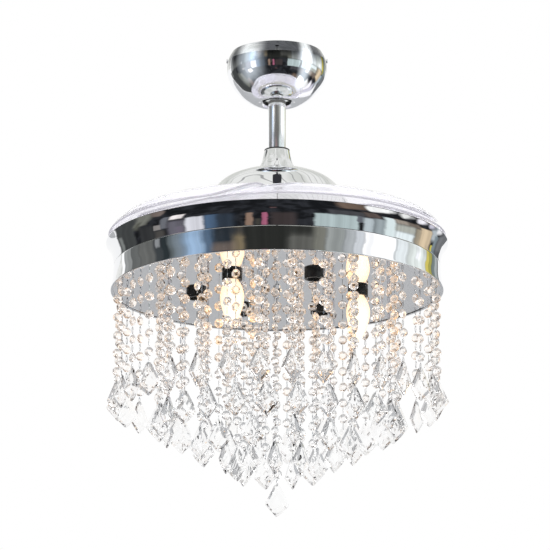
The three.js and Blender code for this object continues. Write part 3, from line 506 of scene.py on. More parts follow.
def make_painted_lamp_light():
    """How strongly the lamps' warm light is painted at a place among the strings: strongest by the
    lit lamps.
    """
    tree, given, out = new_group(
        "painted_lamp_light",
        [("Vector", "NodeSocketVector", None), ("Reach", "NodeSocketFloat", 0.11),
         ("Depth", "NodeSocketFloat", 0.2)],
        [("Share", "NodeSocketFloat"), ("Spots", "NodeSocketFloat")],
    )
    place = given.outputs["Vector"]
    level = parts_of(tree, place)["Z"]
    nearest = None
    for lamp in lit_lamps.values():
        middle = Vector(round_axis(lamp_circle, lamp_angles[lamp], lamp_middle)) * MM
        away = vector_node(tree, "DISTANCE", place, tuple(middle)).outputs["Value"]
        nearest = math_node(tree, "MINIMUM", nearest, away) if nearest else away
    close = between(tree, nearest, 0.02, given.outputs["Reach"], 1.0, 0.0)
    # The painted lamp light is also a little stronger near the ring's foot, where the lamps hang.
    below = math_node(tree, "SUBTRACT", drum_foot * MM, level)
    high = between(tree, below, 0.0, given.outputs["Depth"], 0.3, 0.0)
    # Spots where the painted glints shine.
    spots = between(tree, noise(tree, place, glint_scale, 2.0), 0.5, 0.62, 0.0, 1.0)
    tree.links.new(math_node(tree, "MAXIMUM", close, high), out.inputs["Share"])
    tree.links.new(spots, out.inputs["Spots"])
    return tree


def dress_crystal(made):
    """Adds small cut facets, a painted warm tint by the lit lamps and painted warm glints that
    glow.
    """
    tree = made.node_tree
    shader, surface = node_of(made, "BSDF_PRINCIPLED"), node_of(made, "GROUP")
    place = node_of(made, "TEX_COORD").outputs["Object"]
    warmth = group_node(tree, make_painted_lamp_light(), place)
    tree.links.new(mixed(tree, warmth.outputs["Share"], surface.outputs["Colour"], painted_lamp_tint),
                   shader.inputs["Base Color"])
    glint = math_node(tree, "MULTIPLY", warmth.outputs["Share"], warmth.outputs["Spots"])
    glint = math_node(tree, "MULTIPLY", glint, glint_light)
    tree.links.new(mixed(tree, glint, black, painted_glint_amber), shader.inputs["Emission Color"])
    cells = tree.nodes.new("ShaderNodeTexVoronoi")
    cells.inputs["Scale"].default_value = facet_scale
    tree.links.new(place, cells.inputs["Vector"])
    facets = bumped(tree, cells.outputs["Distance"], facet_strength, facet_depth)
    tree.links.new(facets, shader.inputs["Normal"])


def make_lamp_glass():
    """Lit lamp glass: warm white at the filament, amber towards the rim."""
    made = polished("lit_lamp_glass", (1.0, 0.9, 0.74, 1), (1.0, 0.86, 0.66, 1), 30.0, 0.05, 0.2,
                    emission_strength=1.1)
    tree = made.node_tree
    facing = tree.nodes.new("ShaderNodeLayerWeight")
    facing.inputs["Blend"].default_value = 0.45
    warm = mixed(tree, facing.outputs["Facing"], (1.0, 0.84, 0.62, 1), (0.95, 0.5, 0.2, 1))
    tree.links.new(warm, node_of(made, "BSDF_PRINCIPLED").inputs["Emission Color"])
    return made


dress_crystal(cut_crystal)
lamp_glass = make_lamp_glass()

node_looks = [
    (plated_sheet, ["hanging_bracket", "drum_pan"]),
    (turned_steel, ["cross_pin", "motor_shaft", "clevis_pin", "pin_clip", "shaft_nut",
                    "bearing_lower", "bearing_upper", "pivot_pin_1", "pivot_pin_2", "pivot_pin_3",
                    "pivot_pin_4"]),
    (canopy_chrome_painted_reflection, ["canopy_screw_1", "canopy_screw_2"]),
    (core_steel, ["stator_core"]),
    (blued_spring, ["return_spring"]),
    (copper_wire, ["stator_winding"]),
    (ferrite, ["magnet_ring"]),
    (cast_aluminium, ["rotor_case_lower", "rotor_case_upper", "blade_carrier"]),
    (natural_nylon, ["sync_ring_gear", "pinion_1", "pinion_2", "pinion_3", "pinion_4"]),
    (black_plastic, ["hanger_ball"]),
    (white_plastic, ["receiver_box", "terminal_block", "lamp_terminal_block"]),
    (lead_skin, ["supply_lead"]),
    (plate_mirror, ["lamp_plate"]),
    (wire_chrome, ["centre_hook", "drop_link"]),
]
for look, names in node_looks:
    for name in names:
        slots = nodes[name].data.materials
        slots.clear()
        slots.append(look)

# ---------------------------------------------------------------- canopy, rod, cover and dome

canopy_curve = curve_through(
    [(67.3, -0.5), (73.6, -16), (70.7, -40.8), (55.9, -62), (41.2, -73.2), (29, -77), (21, -73)],
    48)
canopy = walled(turned("canopy_shell", canopy_curve, 128), 1.2)
smooth(canopy, 50)
finish_piece(canopy, "ceiling_mount", canopy_chrome_painted_reflection, "chrome_canopy", "canopy")
seal = flat_ring("canopy_mouth_seal", 19.4, 20.7, -75.5, -70.5)
bevel(seal, 0.4)
smooth(seal)
finish_piece(seal, "ceiling_mount", black_rubber, "rubber", "canopy_seal")

rod = flat_ring("downrod_tube", 11, 13, rod_low, rod_high)
bevel(rod, 0.5)
smooth(rod)
finish_piece(rod, "hanging_fan", rod_chrome_painted_glow, "chrome_rod", "downrod")

cover_curve = curve_through([(28.5, 184.3), (22.2, 197.7), (18.7, 214)], 24)
cover = walled(turned("coupling_cover_shell", [*cover_curve, (17.9, 214.2), (13.4, 214.2)], 96,
                      drum_foot), 1.2)
bevel(cover, 0.4, 2, 50)
smooth(cover, 40)
finish_piece(cover, "hanging_fan", dome_chrome, "chrome_rod", "coupling_cover")
gasket = flat_ring("cover_gasket_ring", 13.3, 18.6, 214.4, 216.3, drum_foot)
bevel(gasket, 0.5)
smooth(gasket)
finish_piece(gasket, "hanging_fan", black_rubber, "rubber", "cover_gasket")

dome_curve = curve_through(
    [(28.5, 184), (41.7, 181.24), (62.16, 174.99), (79.98, 165.98), (94.5, 150.61), (113.31, 120.4),
     (123, 78)], 60)
dome = walled(turned("motor_dome_shell", [(17.3, 184), *dome_curve], 160, drum_foot), 1.3)
smooth(dome, 40)
finish_piece(dome, "hanging_fan", dome_chrome, "chrome_dome", "motor_dome")

# ---------------------------------------------------------------- chrome ring

ring_sheet = 1.5
upper_curve = curve_through([(238.5, 36.3), (239.65, 48.4), (243.33, 61.3), (250, 71)], 24)
upper_inner = [(r - ring_sheet, z) for r, z in reversed(upper_curve) if z > 42]
upper_band = turned(
    "upper_ring_band",
    [*upper_curve, *upper_inner, (237, 40.1), (225, 40.1), (225, 38.6), (237, 38.6), (237, 36.3)],
    192, drum_foot, closed=True)
bevel(upper_band, 0.35, 2, 50)
smooth(upper_band, 40)
finish_piece(upper_band, "hanging_fan", ring_chrome, "chrome_ring", "upper_band")

lower_curve = curve_through([(242.5, 0), (239.5, 18), (238.5, 36)], 16)
lower_inner = [(r - ring_sheet, z) for r, z in reversed(lower_curve) if 1.5 < z < 34]
lower_band = turned(
    "lower_ring_band",
    [*lower_curve, (225, 36), (225, 34.5), (237, 34.5), *lower_inner, (240.8, 1), (238, 1),
     (238, 0)],
    192, drum_foot, closed=True)
bevel(lower_band, 0.35, 2, 50)
smooth(lower_band, 40)
finish_piece(lower_band, "hanging_fan", ring_chrome, "chrome_ring", "lower_band")

# ---------------------------------------------------------------- blades

pivot_radius = 197.5
blade_half_width = 47.5
blade_tail, blade_arc = math.radians(13), math.radians(150)
first_blade = 39
blade_thickness = 2.6
blade_end_radius = 75
crown_rise, crown_across = 26.0, 0.45
outer_fall, inner_fall = 20.0, 8.0
rise_from, rise_to = math.radians(8), math.radians(60)
pin_hole_radius = 5.3


def ease(value, low, high):
    share = min(max((value - low) / (high - low), 0), 1)
    return share * share * (3 - 2 * share)


def rounded(distance, length):
    share = 1 - min(distance / length, 1)
    return math.sqrt(max(1 - share * share, 0.03))


def blade_section(across):
    """Height of a raised blade, which falls away from its crown to both edges."""
    fall, edge = (outer_fall, 1) if across > crown_across else (inner_fall, -1)
    return crown_rise - fall * ((across - crown_across) / (edge - crown_across)) ** 2


def make_blade():
    """A flat grid bent round the fan's axis: it starts level at the pivot and then rises."""
    start()
    bpy.ops.mesh.primitive_grid_add(x_subdivisions=120, y_subdivisions=20, size=2)
    blade = bpy.context.object
    blade.name = "blade_sheet"
    for vertex in blade.data.vertices:
        along = (1 - math.cos(math.pi * (vertex.co.x + 1) / 2)) / 2
        angle = along * blade_arc - blade_tail
        length = blade_arc * pivot_radius
        half = blade_half_width * min(rounded(along * length, blade_half_width),
                                      rounded((1 - along) * length, blade_end_radius))
        across = vertex.co.y * half / blade_half_width
        radius = pivot_radius + vertex.co.y * half
        rise = ease(angle, rise_from, rise_to)
        vertex.co = Vector((radius * math.cos(angle), radius * math.sin(angle),
                            drum_foot + blade_foot + rise * blade_section(across))) * MM
    bpy.ops.object.mode_set(mode="EDIT")
    bpy.ops.mesh.select_all(action="SELECT")
    bpy.ops.mesh.flip_normals()
    bpy.ops.object.mode_set(mode="OBJECT")
    modifier = blade.modifiers.new("thickness", "SOLIDIFY")
    modifier.thickness = blade_thickness * MM
    modifier.offset = 1
    apply_modifiers(blade)
    bevel(blade, 0.7, 3, 60)
    start()
    bpy.ops.mesh.primitive_cylinder_add(
        vertices=32, radius=pin_hole_radius * MM, depth=12 * MM,
        location=(pivot_radius * MM, 0, (drum_foot + blade_foot + 1) * MM))
    drill = bpy.context.object
    hole = blade.modifiers.new("pivot_hole", "BOOLEAN")
    hole.operation = "DIFFERENCE"
    hole.object = drill
    apply_modifiers(blade)
    bpy.data.objects.remove(drill)
    smooth(blade, 40)
    return blade


blade_pattern = make_blade()
for number in range(1, 5):
    turn = math.radians(first_blade + 90 * (number - 1))
    blade = copy_of(blade_pattern, f"clear_blade_{number}", turn)
    finish_piece(blade, f"blade_arm_{number}", acrylic, "clear_acrylic", f"blade_{number}")
bpy.data.objects.remove(blade_pattern)

# ---------------------------------------------------------------- lamp holders and lamps

mouth = plate_foot - 9
holder_profile = [
    (10.5, mouth), (14.0, mouth), (14.7, mouth + 0.7), (14.7, 3.6), (18, 3.6), (18, 6),
    (16.2, 8), (15.4, 14), (12.7, 28.3), (0, 28.3), (0, 22.3), (7.9, 22.3), (7.9, 0.3), (10.5, 0.3),
]
holder_pattern = turned("holder_pattern", holder_profile, 40, drum_foot, closed=True)
bevel(holder_pattern, 0.3)
smooth(holder_pattern)
thread = [(7.35 + 0.3 * math.cos(step * math.pi / 2), 1 + step * 0.8) for step in range(25)]
shell_pattern = walled(turned("shell_pattern", thread, 32, drum_foot), 0.2)
smooth(shell_pattern, 60)
for number, angle in enumerate(lamp_angles, 1):
    place = round_axis(lamp_circle, angle)
    holder = copy_of(holder_pattern, f"lamp_holder_body_{number}", 0, place)
    finish_piece(holder, "hanging_fan", black_plastic, "black_plastic", f"lamp_holder_{number}")
    if number - 1 not in lit_lamps.values():
        socket = copy_of(shell_pattern, f"lamp_socket_shell_{number}", 0, place)
        finish_piece(socket, "hanging_fan", socket_brass, "turned_steel")
bpy.data.objects.remove(holder_pattern)
bpy.data.objects.remove(shell_pattern)

glass_top = mouth + 7.4
glass_foot = glass_top - 76
bulb_curve = curve_through(
    [(0.4, glass_foot), (7.4, glass_top - 66.9), (14, glass_top - 50.2), (17.4, glass_top - 31.9),
     (14.7, glass_top - 18.2), (9.2, glass_top - 7), (8, glass_top)], 40)
bulb_pattern = turned(
    "bulb_pattern",
    [(0, glass_foot), *bulb_curve, (7, glass_top), (7, 19.5), (3.5, 21.5), (0, 21.5)],
    48, drum_foot)
smooth(bulb_pattern, 50)
for number, lamp in lit_lamps.items():
    bulb = copy_of(bulb_pattern, f"lit_lamp_{number}", 0,
                   round_axis(lamp_circle, lamp_angles[lamp]))
    finish_piece(bulb, "hanging_fan", lamp_glass, "lamp_glass", f"bulb_{number}")
bpy.data.objects.remove(bulb_pattern)

# ---------------------------------------------------------------- crystal strings


def cut_bead(radius, half_thickness):
    """An octagon bead with a table and two rows of facets on each face, standing across Y."""
    girdle = 1.2
    half_side = math.radians(22.5)
    start()
    bpy.ops.mesh.primitive_cylinder_add(vertices=8, radius=radius * MM, depth=girdle * MM)
    bead = bpy.context.object
    rise = half_thickness - girdle / 2
    bpy.ops.object.mode_set(mode="EDIT")
    bpy.ops.mesh.select_mode(type="FACE")
    for side in (1, -1):
        bpy.ops.mesh.select_all(action="DESELECT")
        bpy.ops.object.mode_set(mode="OBJECT")
        for face in bead.data.polygons:
            face.select = face.normal.z * side > 0.9
        bpy.ops.object.mode_set(mode="EDIT")
        for inset, share in ((radius * 0.3, 0.65), (radius * 0.27, 0.35)):
            bpy.ops.mesh.inset(thickness=inset * MM, depth=0)
            bpy.ops.transform.translate(value=(0, 0, side * rise * share * MM))
            bpy.ops.transform.rotate(value=half_side, orient_axis="Z", center_override=(0, 0, 0))
    bpy.ops.mesh.select_all(action="SELECT")
    bpy.ops.mesh.quads_convert_to_tris()
    bpy.ops.mesh.normals_make_consistent(inside=False)
    bpy.ops.object.mode_set(mode="OBJECT")
    bead.rotation_euler = (math.radians(90), half_side, 0)
    settle(bead)
    return bead


def cut_pendant(height, half_width, half_thickness):
    """A kite-shaped pendant hung from its top point at the origin, cut to a raised table."""
    girdle = 1.0
    # Shares of the half width and of the height.
    shares = [(0, 0), (0.2, 0.04), (0.93, 0.57), (1, 0.62), (0.86, 0.69), (0.14, 0.97), (0, 1)]
    outline = [(half_width * across, -height * down) for across, down in shares]
    whole = outline + [(-x, z) for x, z in reversed(outline[1:-1])]
    start()
    bpy.ops.mesh.primitive_circle_add(vertices=len(whole), radius=MM, fill_type="NGON")
    pendant = bpy.context.object
    for vertex, (x, z) in zip(pendant.data.vertices, whole):
        vertex.co = Vector((x, 0, z)) * MM
    bpy.ops.object.mode_set(mode="EDIT")
    bpy.ops.mesh.select_mode(type="FACE")
    bpy.ops.mesh.select_all(action="SELECT")
    bpy.ops.transform.translate(value=(0, -girdle / 2 * MM, 0))
    bpy.ops.mesh.extrude_region_move(TRANSFORM_OT_translate={"value": (0, girdle * MM, 0)})
    bpy.ops.mesh.select_all(action="SELECT")
    bpy.ops.mesh.normals_make_consistent(inside=False)
    for side in (1, -1):
        bpy.ops.object.mode_set(mode="OBJECT")
        for face in pendant.data.polygons:
            face.select = face.normal.y * side > 0.9
        bpy.ops.object.mode_set(mode="EDIT")
        middle = (0, 0, -height * 0.56 * MM)
        for share, rise in ((0.72, 0.6), (0.45, 0.4)):
            bpy.ops.mesh.inset(thickness=0.05 * MM, depth=0)
            bpy.ops.transform.resize(value=(share, 1, share), center_override=middle)
            step = side * (half_thickness - girdle / 2) * rise
            bpy.ops.transform.translate(value=(0, step * MM, 0))
    bpy.ops.mesh.select_all(action="SELECT")
    bpy.ops.mesh.quads_convert_to_tris()
    bpy.ops.mesh.normals_make_consistent(inside=False)
    bpy.ops.object.mode_set(mode="OBJECT")
    settle(pendant)
    return pendant


def bent_pin(length):
    """A flattened wire loop that joins two beads, hung from the origin."""
    loop, wire = 1.6, 0.35
    start()
    bpy.ops.mesh.primitive_torus_add(major_segments=10, minor_segments=4, major_radius=loop * MM,
                                     minor_radius=wire * MM, rotation=(math.radians(90), 0, 0))
    pin = bpy.context.object
    bpy.ops.object.transform_apply(rotation=True)
    bpy.ops.object.mode_set(mode="EDIT")
    bpy.ops.mesh.select_all(action="SELECT")
    bpy.ops.transform.resize(value=(1, 1, length / (2 * (loop + wire))))
    bpy.ops.object.mode_set(mode="OBJECT")
    settle(pin)
    return pin


bead_pitch = 24.4
pendant_height = 49
string_slack = 4
string_top = -2.0
centre_bead, centre_top, centre_foot = -21.0, -26.0, -332.0
bead_pattern = cut_bead(7.0, 3.6)
pendant_pattern = cut_pendant(pendant_height, 18, 4.4)
pin_pattern = bent_pin(11.5)
# Node, number of strings, radius, drop under the ring's foot and angle of the first string.
tiers = [
    ("crystal_tier_1", 32, 232, 186, 5),
    ("crystal_tier_2", 24, 171, 219, 10),
    ("crystal_tier_3", 12, 112, 252, 12),
    ("crystal_tier_4", 9, 58, 281, 27),
]


def placed(pattern, twist, x, y, z):
    made = pattern.copy()
    made.data = pattern.data.copy()
    bpy.context.scene.collection.objects.link(made)
    made.rotation_euler = (0, 0, twist)
    made.location = (x * MM, y * MM, (drum_foot + z) * MM)
    return made


def hang_string(x, y, top, foot, crystals, pins):
    """Beads at an even pitch from the plate down to a pendant, joined by wire loops."""
    pendant_top = foot + pendant_height
    run = top - pendant_top
    count = max(1, round((run - string_slack) / bead_pitch))
    pitch = run / count
    twist = rng.uniform(-0.9, 0.9)
    for k in range(count):
        level = top - pitch * (k + 0.5)
        crystals.append(placed(bead_pattern, twist + rng.uniform(-0.5, 0.5), x, y, level))
        pins.append(placed(pin_pattern, twist + math.pi / 2, x, y, top - pitch * k))
    pins.append(placed(pin_pattern, twist + math.pi / 2, x, y, pendant_top))
    pendant_twist = rng.uniform(-1.0, 1.0)
    crystals.append(placed(pendant_pattern, pendant_twist, x, y, pendant_top - 1))


for name, count, radius, drop, first in tiers:
    crystals, pins = [], []
    for k in range(count):
        angle = math.radians(first) + k * 2 * math.pi / count
        x, y, _ = round_axis(radius, angle)
        hang_string(x, y, string_top, -drop, crystals, pins)
    finish_piece(joined(crystals, f"{name}_beads"), "hanging_fan", cut_crystal, "crystal", name)
    finish_piece(joined(pins, f"{name}_pins"), "hanging_fan", wire_chrome, "chrome_wire")

crystals, pins = [], []
hang_string(0, 0, centre_top, centre_foot, crystals, pins)
crystals.append(placed(bead_pattern, 0, 0, 0, centre_bead))
finish_piece(joined(crystals, "centre_string_beads"), "centre_drop", cut_crystal, "crystal",
             "centre_drop")
finish_piece(joined(pins, "centre_string_pins"), "centre_drop", wire_chrome, "chrome_wire")
for pattern in (bead_pattern, pendant_pattern, pin_pattern):
    bpy.data.objects.remove(pattern)

# ---------------------------------------------------------------- floor, light and camera


def emission(name, colour):
    made = bpy.data.materials.new(name)
    made.use_nodes = True
    tree = made.node_tree
    tree.nodes.clear()
    out = tree.nodes.new("ShaderNodeOutputMaterial")
    glow = tree.nodes.new("ShaderNodeEmission")
    glow.inputs["Color"].default_value = colour
    tree.links.new(glow.outputs[0], out.inputs["Surface"])
    return made


# Metres from the ceiling.
floor_level, card_level = -2.4, 1.3


def make_floor():
    """A pale floor as far under the fan as in a room."""
    start()
    bpy.ops.mesh.primitive_plane_add(size=40, location=(0, 0, floor_level))
    floor = bpy.context.object
    floor.name = "studio_floor"
    floor.data.materials.append(moulded("pale_floor", grey(0.82), grey(0.8), 0.6, 0.7))
    settle(floor)


def make_soft_patch():
    """Paints a soft-edged patch of the room over a colour, by bearing and height in degrees."""
    tree, given, out = new_group(
        "soft_patch",
        [("Ground", "NodeSocketColor", (0, 0, 0, 1)), ("Patch", "NodeSocketColor", (1, 1, 1, 1)),
         ("Bearing", "NodeSocketFloat", 0.0), ("Height", "NodeSocketFloat", 0.0),
         ("From", "NodeSocketFloat", 0.0), ("To", "NodeSocketFloat", 0.0),
         ("Low", "NodeSocketFloat", 0.0), ("High", "NodeSocketFloat", 0.0),
         ("Softness", "NodeSocketFloat", 1.0)],
        [("Colour", "NodeSocketColor")],
    )
    share = None
    soft = given.outputs["Softness"]
    for value, edge, ends in (("Bearing", "From", (0, 1)), ("Bearing", "To", (1, 0)),
                              ("Height", "Low", (0, 1)), ("Height", "High", (1, 0))):
        place = given.outputs[edge]
        step = between(tree, given.outputs[value], math_node(tree, "SUBTRACT", place, soft),
                       math_node(tree, "ADD", place, soft), *ends)
        share = math_node(tree, "MULTIPLY", share, step) if share else step
    tree.links.new(mixed(tree, share, given.outputs["Ground"], given.outputs["Patch"]),
                   out.inputs["Colour"])
    return tree


# What the chrome mirrors: bearing from and to, height from and to, softness, and the shade as it is
# seen. The upper band mirrors heights under 14 degrees, the lower band and the rod those over 15.
room = [
    (-150, -133, -60, 14, 2, (250, 250, 250)),
    (-133, -109, -60, 14, 2, (66, 68, 68)),
    (-131, -126, 3, 14, 2, (115, 118, 116)),
    (-110, -96, -34, -8, 3, (112, 113, 106)),
    (-109, -103, -20, -2, 3, (86, 87, 80)),
    (-103, -88, -4, 14, 3, (54, 55, 56)),
    (-98, -88, -40, -28, 2, (112, 101, 96)),
    (-88, -82, -3, 4, 1, (130, 126, 124)),
    (-88, -79, 6, 14, 2, (72, 70, 68)),
    (-82, -76, -20, 3, 2, (110, 112, 118)),
    (-76, -62, -6, 14, 3, (98, 96, 104)),
    (-75, -64, -22, -9, 1.5, (234, 226, 224)),
    (-69, -64, 4, 14, 2, (110, 104, 116)),
    (-62, -48, -9, 14, 1.5, (206, 206, 212)),
    (-48, -38, -10, 14, 2, (76, 96, 120)),
    (-40, -28, -10, 14, 4, (52, 60, 70)),
    (-20, -15.5, -10, 12, 1.2, (134, 112, 98)),
    (-14, -10.5, 2, 12, 1.5, (66, 64, 60)),
    (-9.8, -6.2, -10, 11, 0.8, (156, 92, 114)),
    (-5, 0, -28, -22, 1, (85, 68, 69)),
    (-4, 12, -10, 11, 3, (62, 56, 56)),
    (24, 54, -10, 14, 1.5, (168, 182, 182)),
    (34, 60, -24, -10, 3, (70, 70, 73)),
    (48, 70, -60, -36, 4, (105, 90, 80)),
    (53, 58, -10, 0, 1.2, (96, 99, 105)),
    (58, 66, -8, 14, 2, (178, 188, 192)),
    (60, 72, -28, -10, 3, (90, 80, 76)),
    (66, 75, -9, 14, 2, (144, 153, 156)),
    (75, 84, -18, 14, 2, (212, 224, 224)),
    (84, 98, -18, -6, 3, (152, 142, 132)),
    (97, 110, -16, -5, 3, (114, 104, 96)),
    (84, 104, -5, 5, 3, (170, 172, 164)),
    (84, 104, 5, 14, 3, (226, 235, 236)),
    (104, 111, -4, 14, 2, (150, 140, 122)),
    (110, 125, -10, 14, 2, (205, 185, 155)),
    (125, 133, -12, 6, 2, (172, 180, 184)),
    (127, 131, 10, 14, 1, (197, 187, 83)),
    (130, 136, -2, 14, 2, (122, 134, 140)),
    (136, 150, -5, 14, 3, (108, 110, 112)),
    (70, 96, -60, -33, 2, (240, 240, 238)),
    (96, 110, -60, -26, 2, (228, 228, 226)),
    (110, 122, -60, -19, 2, (235, 232, 238)),
    (122, 132, -60, -13.5, 2, (200, 198, 212)),
    (132, 150, -60, -7, 2, (238, 238, 240)),
    (-150, -130, 15, 45, 1, (252, 252, 252)),
    (-130, -119, 15, 45, 1.5, (140, 142, 141)),
    (-119, -109, 15, 45, 2, (100, 102, 101)),
    (-109, -92, 15, 45, 3, (100, 101, 99)),
    (-92, -79, 19, 45, 3, (62, 66, 68)),
    (-90, -86, 15, 19.5, 1, (132, 134, 136)),
    (-85, -79, 15, 45, 1.5, (46, 52, 54)),
    (-79, -72, 15, 45, 2, (95, 102, 104)),
    (-75, -63, 15, 45, 4, (112, 122, 130)),
    (-66, -49, 15, 45, 5, (146, 172, 200)),
    (-50, -43, 15, 45, 4, (80, 100, 122)),
    (-43, -22, 15, 45, 6, (46, 52, 58)),
    (-46, -26, 28.5, 45, 3, (104, 94, 88)),
    (-29, -22, 20, 45, 4, (122, 110, 88)),
    (-21, 26, 15, 45, 3, (46, 47, 45)),
    (8, 26, 21, 45, 4, (92, 92, 88)),
    (25, 34, 15, 45, 3, (118, 118, 110)),
    (33, 46, 15, 45, 2, (144, 148, 146)),
    (46, 54, 15, 45, 2, (166, 170, 172)),
    (54, 61, 15, 45, 1.5, (196, 200, 204)),
    (61, 88, 15, 45, 1.5, (255, 255, 255)),
    (88, 101, 15, 45, 3, (226, 232, 233)),
    (101, 125, 15, 45, 3, (216, 222, 218)),
    (110, 116, 17, 22, 1, (242, 243, 246)),
    (124.5, 129.5, 16, 45, 1, (200, 186, 96)),
    (129.5, 135, 15, 45, 1, (160, 156, 84)),
    (135, 141, 15, 45, 1, (112, 122, 121)),
    (141, 148, 15, 45, 1, (160, 166, 166)),
]
mirror_loss = 0.8
room_shadow, room_light = (0.012, 0.013, 0.015, 1), (0.032, 0.034, 0.04, 1)
blotch_scale, waver_scale, streak_scale = 3.0, 6.0, 0.16
# Degrees by which the edges of the patches waver.
bearing_waver, height_waver = 3.0, 2.0
streak_dim, streak_bright = 0.86, 1.1


def brightness(shade):
    """Light needed behind a shade as seen in the chrome, from 0 to 255."""
    return (shade / 255) ** 2.2 / mirror_loss


def make_room_look():
    """The dim room in front of the fan, painted on the screen by bearing and height."""
    made = emission("dim_room", black)
    tree = made.node_tree
    place = tree.nodes.new("ShaderNodeTexCoord")
    centred = vector_node(tree, "SUBTRACT", place.outputs["Object"], (0, 0, drum_foot * MM))
    centred = centred.outputs[0]
    across, depth, level = parts_of(tree, centred)
    bearing = bearing_of(tree, across, math_node(tree, "MULTIPLY", depth, -1.0))
    slope = math_node(tree, "DIVIDE", level, screen_radius)
    height = math_node(tree, "DEGREES", math_node(tree, "ARCSINE", slope))
    broad, fine = noise(tree, centred, blotch_scale, 4.0), noise(tree, centred, waver_scale, 2.0)
    shifted = math_node(tree, "MULTIPLY_ADD", fine, bearing_waver,
                        math_node(tree, "SUBTRACT", bearing, bearing_waver / 2))
    raised = math_node(tree, "MULTIPLY_ADD", fine, height_waver,
                       math_node(tree, "SUBTRACT", height, height_waver / 2))
    uprights = tree.nodes.new("ShaderNodeCombineXYZ")
    tree.links.new(bearing, uprights.inputs[0])
    streak = noise(tree, uprights.outputs[0], streak_scale, 3.0, 0.5)
    colour = mixed(tree, between(tree, broad, 0.42, 0.66, 0, 1), room_shadow, room_light)
    for start_at, end_at, low, high, softness, paint in room:
        patch = tree.nodes.new("ShaderNodeGroup")
        patch.node_tree = soft_patch
        tree.links.new(colour, patch.inputs["Ground"])
        tree.links.new(shifted, patch.inputs["Bearing"])
        tree.links.new(raised, patch.inputs["Height"])
        patch.inputs["Patch"].default_value = (*map(brightness, paint), 1)
        for label, value in zip(("From", "To", "Low", "High", "Softness"),
                                (start_at, end_at, low, high, softness)):
            patch.inputs[label].default_value = value
        colour = patch.outputs["Colour"]
    tinted = vector_node(tree, "SCALE", colour)
    mottle = between(tree, streak, 0.35, 0.65, streak_dim, streak_bright)
    tree.links.new(mottle, tinted.inputs["Scale"])
    tree.links.new(tinted.outputs[0], node_of(made, "EMISSION").inputs["Color"])
    return made


# Metres, and degrees of bearing and of height.
screen_radius = 1.95
screen_bearings, screen_heights = (-136, 150), (-58, 36)
soft_patch = make_soft_patch()


def show_in_chrome_alone(obj):
    """Leaves a piece of the room to the reflections."""
    obj.visible_camera = False
    obj.visible_diffuse = False
    obj.visible_shadow = False
    obj.visible_transmission = False
    obj.visible_volume_scatter = False


def make_screen():
    """A dark screen round the camera's side, seen in the chrome alone."""
    start()
    bpy.ops.mesh.primitive_uv_sphere_add(segments=144, ring_count=72, radius=screen_radius,
                                         location=(0, 0, drum_foot * MM))
    screen = bpy.context.object
    screen.name = "studio_screen"
    screen.data.materials.append(make_room_look())
    settle(screen)
    for face in screen.data.polygons:
        centre = face.center - Vector((0, 0, drum_foot * MM))
        bearing = math.degrees(math.atan2(centre.x, -centre.y))
        height = math.degrees(math.asin(max(-1, min(1, centre.z / centre.length))))
        face.select = not (screen_bearings[0] < bearing < screen_bearings[1]
                           and screen_heights[0] < height < screen_heights[1])
    bpy.ops.object.mode_set(mode="EDIT")
    bpy.ops.mesh.select_mode(type="FACE")
    bpy.ops.mesh.delete(type="FACE")
    bpy.ops.object.mode_set(mode="OBJECT")
    show_in_chrome_alone(screen)


# Where the dark beam on the ceiling grows wide, is wide and narrows again, in metres behind the
# fan's axis, and by how much.
wide_parts = ((-0.36, -0.33, -0.1, -0.07, 0.085), (-1.05, -1.0, -0.75, -0.72, 0.07))
beam_half_width = 0.02
beam_gap, beam_gap_half = -0.54, 0.16
card_cream, card_shade = (0.93, 0.93, 0.9, 1), (0.72, 0.73, 0.69, 1)
line_colour, beam_colour = (0.2, 0.2, 0.21, 1), (0.04, 0.04, 0.045, 1)


def make_ceiling_card():
    """A cream card high over the fan with thin lines and a dark beam, seen in the chrome alone."""
    start()
    bpy.ops.mesh.primitive_plane_add(size=9, location=(0, 0, card_level))
    card = bpy.context.object
    card.name = "ceiling_card"
    settle(card)
    look = emission("cream_ceiling", card_cream)
    tree = look.node_tree
    place = tree.nodes.new("ShaderNodeTexCoord").outputs["Object"]
    bars = tree.nodes.new("ShaderNodeTexWave")
    bars.bands_direction = "DIAGONAL"
    for label, value in {"Scale": 1.7, "Distortion": 0.25, "Detail": 1.0}.items():
        bars.inputs[label].default_value = value
    tree.links.new(place, bars.inputs["Vector"])
    line = between(tree, bars.outputs["Fac"], 0.965, 0.99, 0, 0.7)
    broad = noise(tree, place, 0.9, 2.0)
    ground = mixed(tree, between(tree, broad, 0.4, 0.62, 0, 1), card_cream, card_shade)
    across, behind, _ = parts_of(tree, place)
    half_width = beam_half_width
    for grows, wide_from, wide_to, ends, extra in wide_parts:
        wide = math_node(tree, "MULTIPLY", between(tree, behind, grows, wide_from, 0, 1),
                         between(tree, behind, wide_to, ends, extra, 0))
        half_width = math_node(tree, "ADD", wide, half_width)
    clear = math_node(tree, "ABSOLUTE", math_node(tree, "SUBTRACT", behind, beam_gap))
    beside = math_node(tree, "ABSOLUTE", across)
    beam = math_node(tree, "MULTIPLY", math_node(tree, "LESS_THAN", beside, half_width),
                     between(tree, clear, beam_gap_half, beam_gap_half + 0.02, 0, 1))
    lined = mixed(tree, line, ground, line_colour)
    tree.links.new(mixed(tree, beam, lined, beam_colour),
                   node_of(look, "EMISSION").inputs["Color"])
    card.data.materials.append(look)
    show_in_chrome_alone(card)


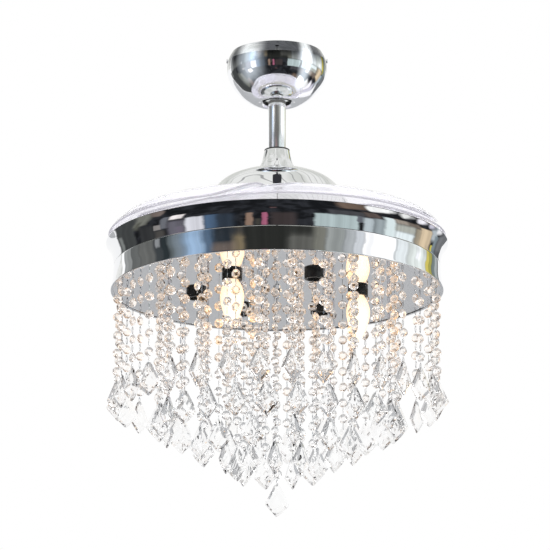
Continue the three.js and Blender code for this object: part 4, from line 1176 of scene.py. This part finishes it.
def make_world():
    """White where it is seen, and a softer light on everything."""
    world = bpy.data.worlds.new("studio_world")
    bpy.context.scene.world = world
    world.use_nodes = True
    tree = world.node_tree
    tree.nodes.clear()
    out = tree.nodes.new("ShaderNodeOutputWorld")
    either = tree.nodes.new("ShaderNodeMixShader")
    for place, colour, strength in ((1, (0.95, 0.97, 1, 1), 0.55), (2, (1, 1, 1, 1), 1.0)):
        back = tree.nodes.new("ShaderNodeBackground")
        back.inputs["Color"].default_value = colour
        back.inputs["Strength"].default_value = strength
        tree.links.new(back.outputs[0], either.inputs[place])
    path = tree.nodes.new("ShaderNodeLightPath")
    shown = math_node(tree, "MAXIMUM", path.outputs["Is Camera Ray"], path.outputs["Is Glossy Ray"])
    shown = math_node(tree, "MAXIMUM", shown, path.outputs["Is Transmission Ray"])
    tree.links.new(shown, either.inputs[0])
    tree.links.new(either.outputs[0], out.inputs["Surface"])


def soft_light(name, place, size, power):
    """A rectangular light turned to the middle of the fan."""
    middle = Vector((0, 0, -0.3))
    light = bpy.data.lights.new(name, "AREA")
    light.shape = "RECTANGLE"
    light.size, light.size_y = size
    light.energy = power
    lamp = bpy.data.objects.new(name, light)
    bpy.context.scene.collection.objects.link(lamp)
    lamp.location = place
    lamp.rotation_mode = "QUATERNION"
    lamp.rotation_quaternion = (middle - Vector(place)).to_track_quat("-Z", "Y")
    lamp.visible_camera = False


def make_camera():
    """The camera looks slightly upwards from far off."""
    rise = math.radians(14.6)
    distance = 5.256
    aim = Vector((-0.003, 0, -0.3384))
    picture_width, focal_length = 550, 3600
    camera = bpy.data.cameras.new("camera")
    camera.sensor_width = 36
    camera.lens = camera.sensor_width * focal_length / picture_width
    holder = bpy.data.objects.new("camera", camera)
    bpy.context.scene.collection.objects.link(holder)
    back = Vector((0, -math.cos(rise), -math.sin(rise)))
    holder.location = aim + back * distance
    holder.rotation_mode = "QUATERNION"
    holder.rotation_quaternion = (-back).to_track_quat("-Z", "Y")
    camera.clip_start, camera.clip_end = 0.1, 100
    bpy.context.scene.camera = holder


make_floor()
make_screen()
make_ceiling_card()
make_world()
soft_light("key_light", (-2.6, -2.4, 1.4), (1.4, 1.4), 60)
soft_light("fill_light", (2.8, -1.8, 0.4), (1.0, 2.0), 35)
make_camera()
bpy.context.scene.view_settings.view_transform = "Standard"
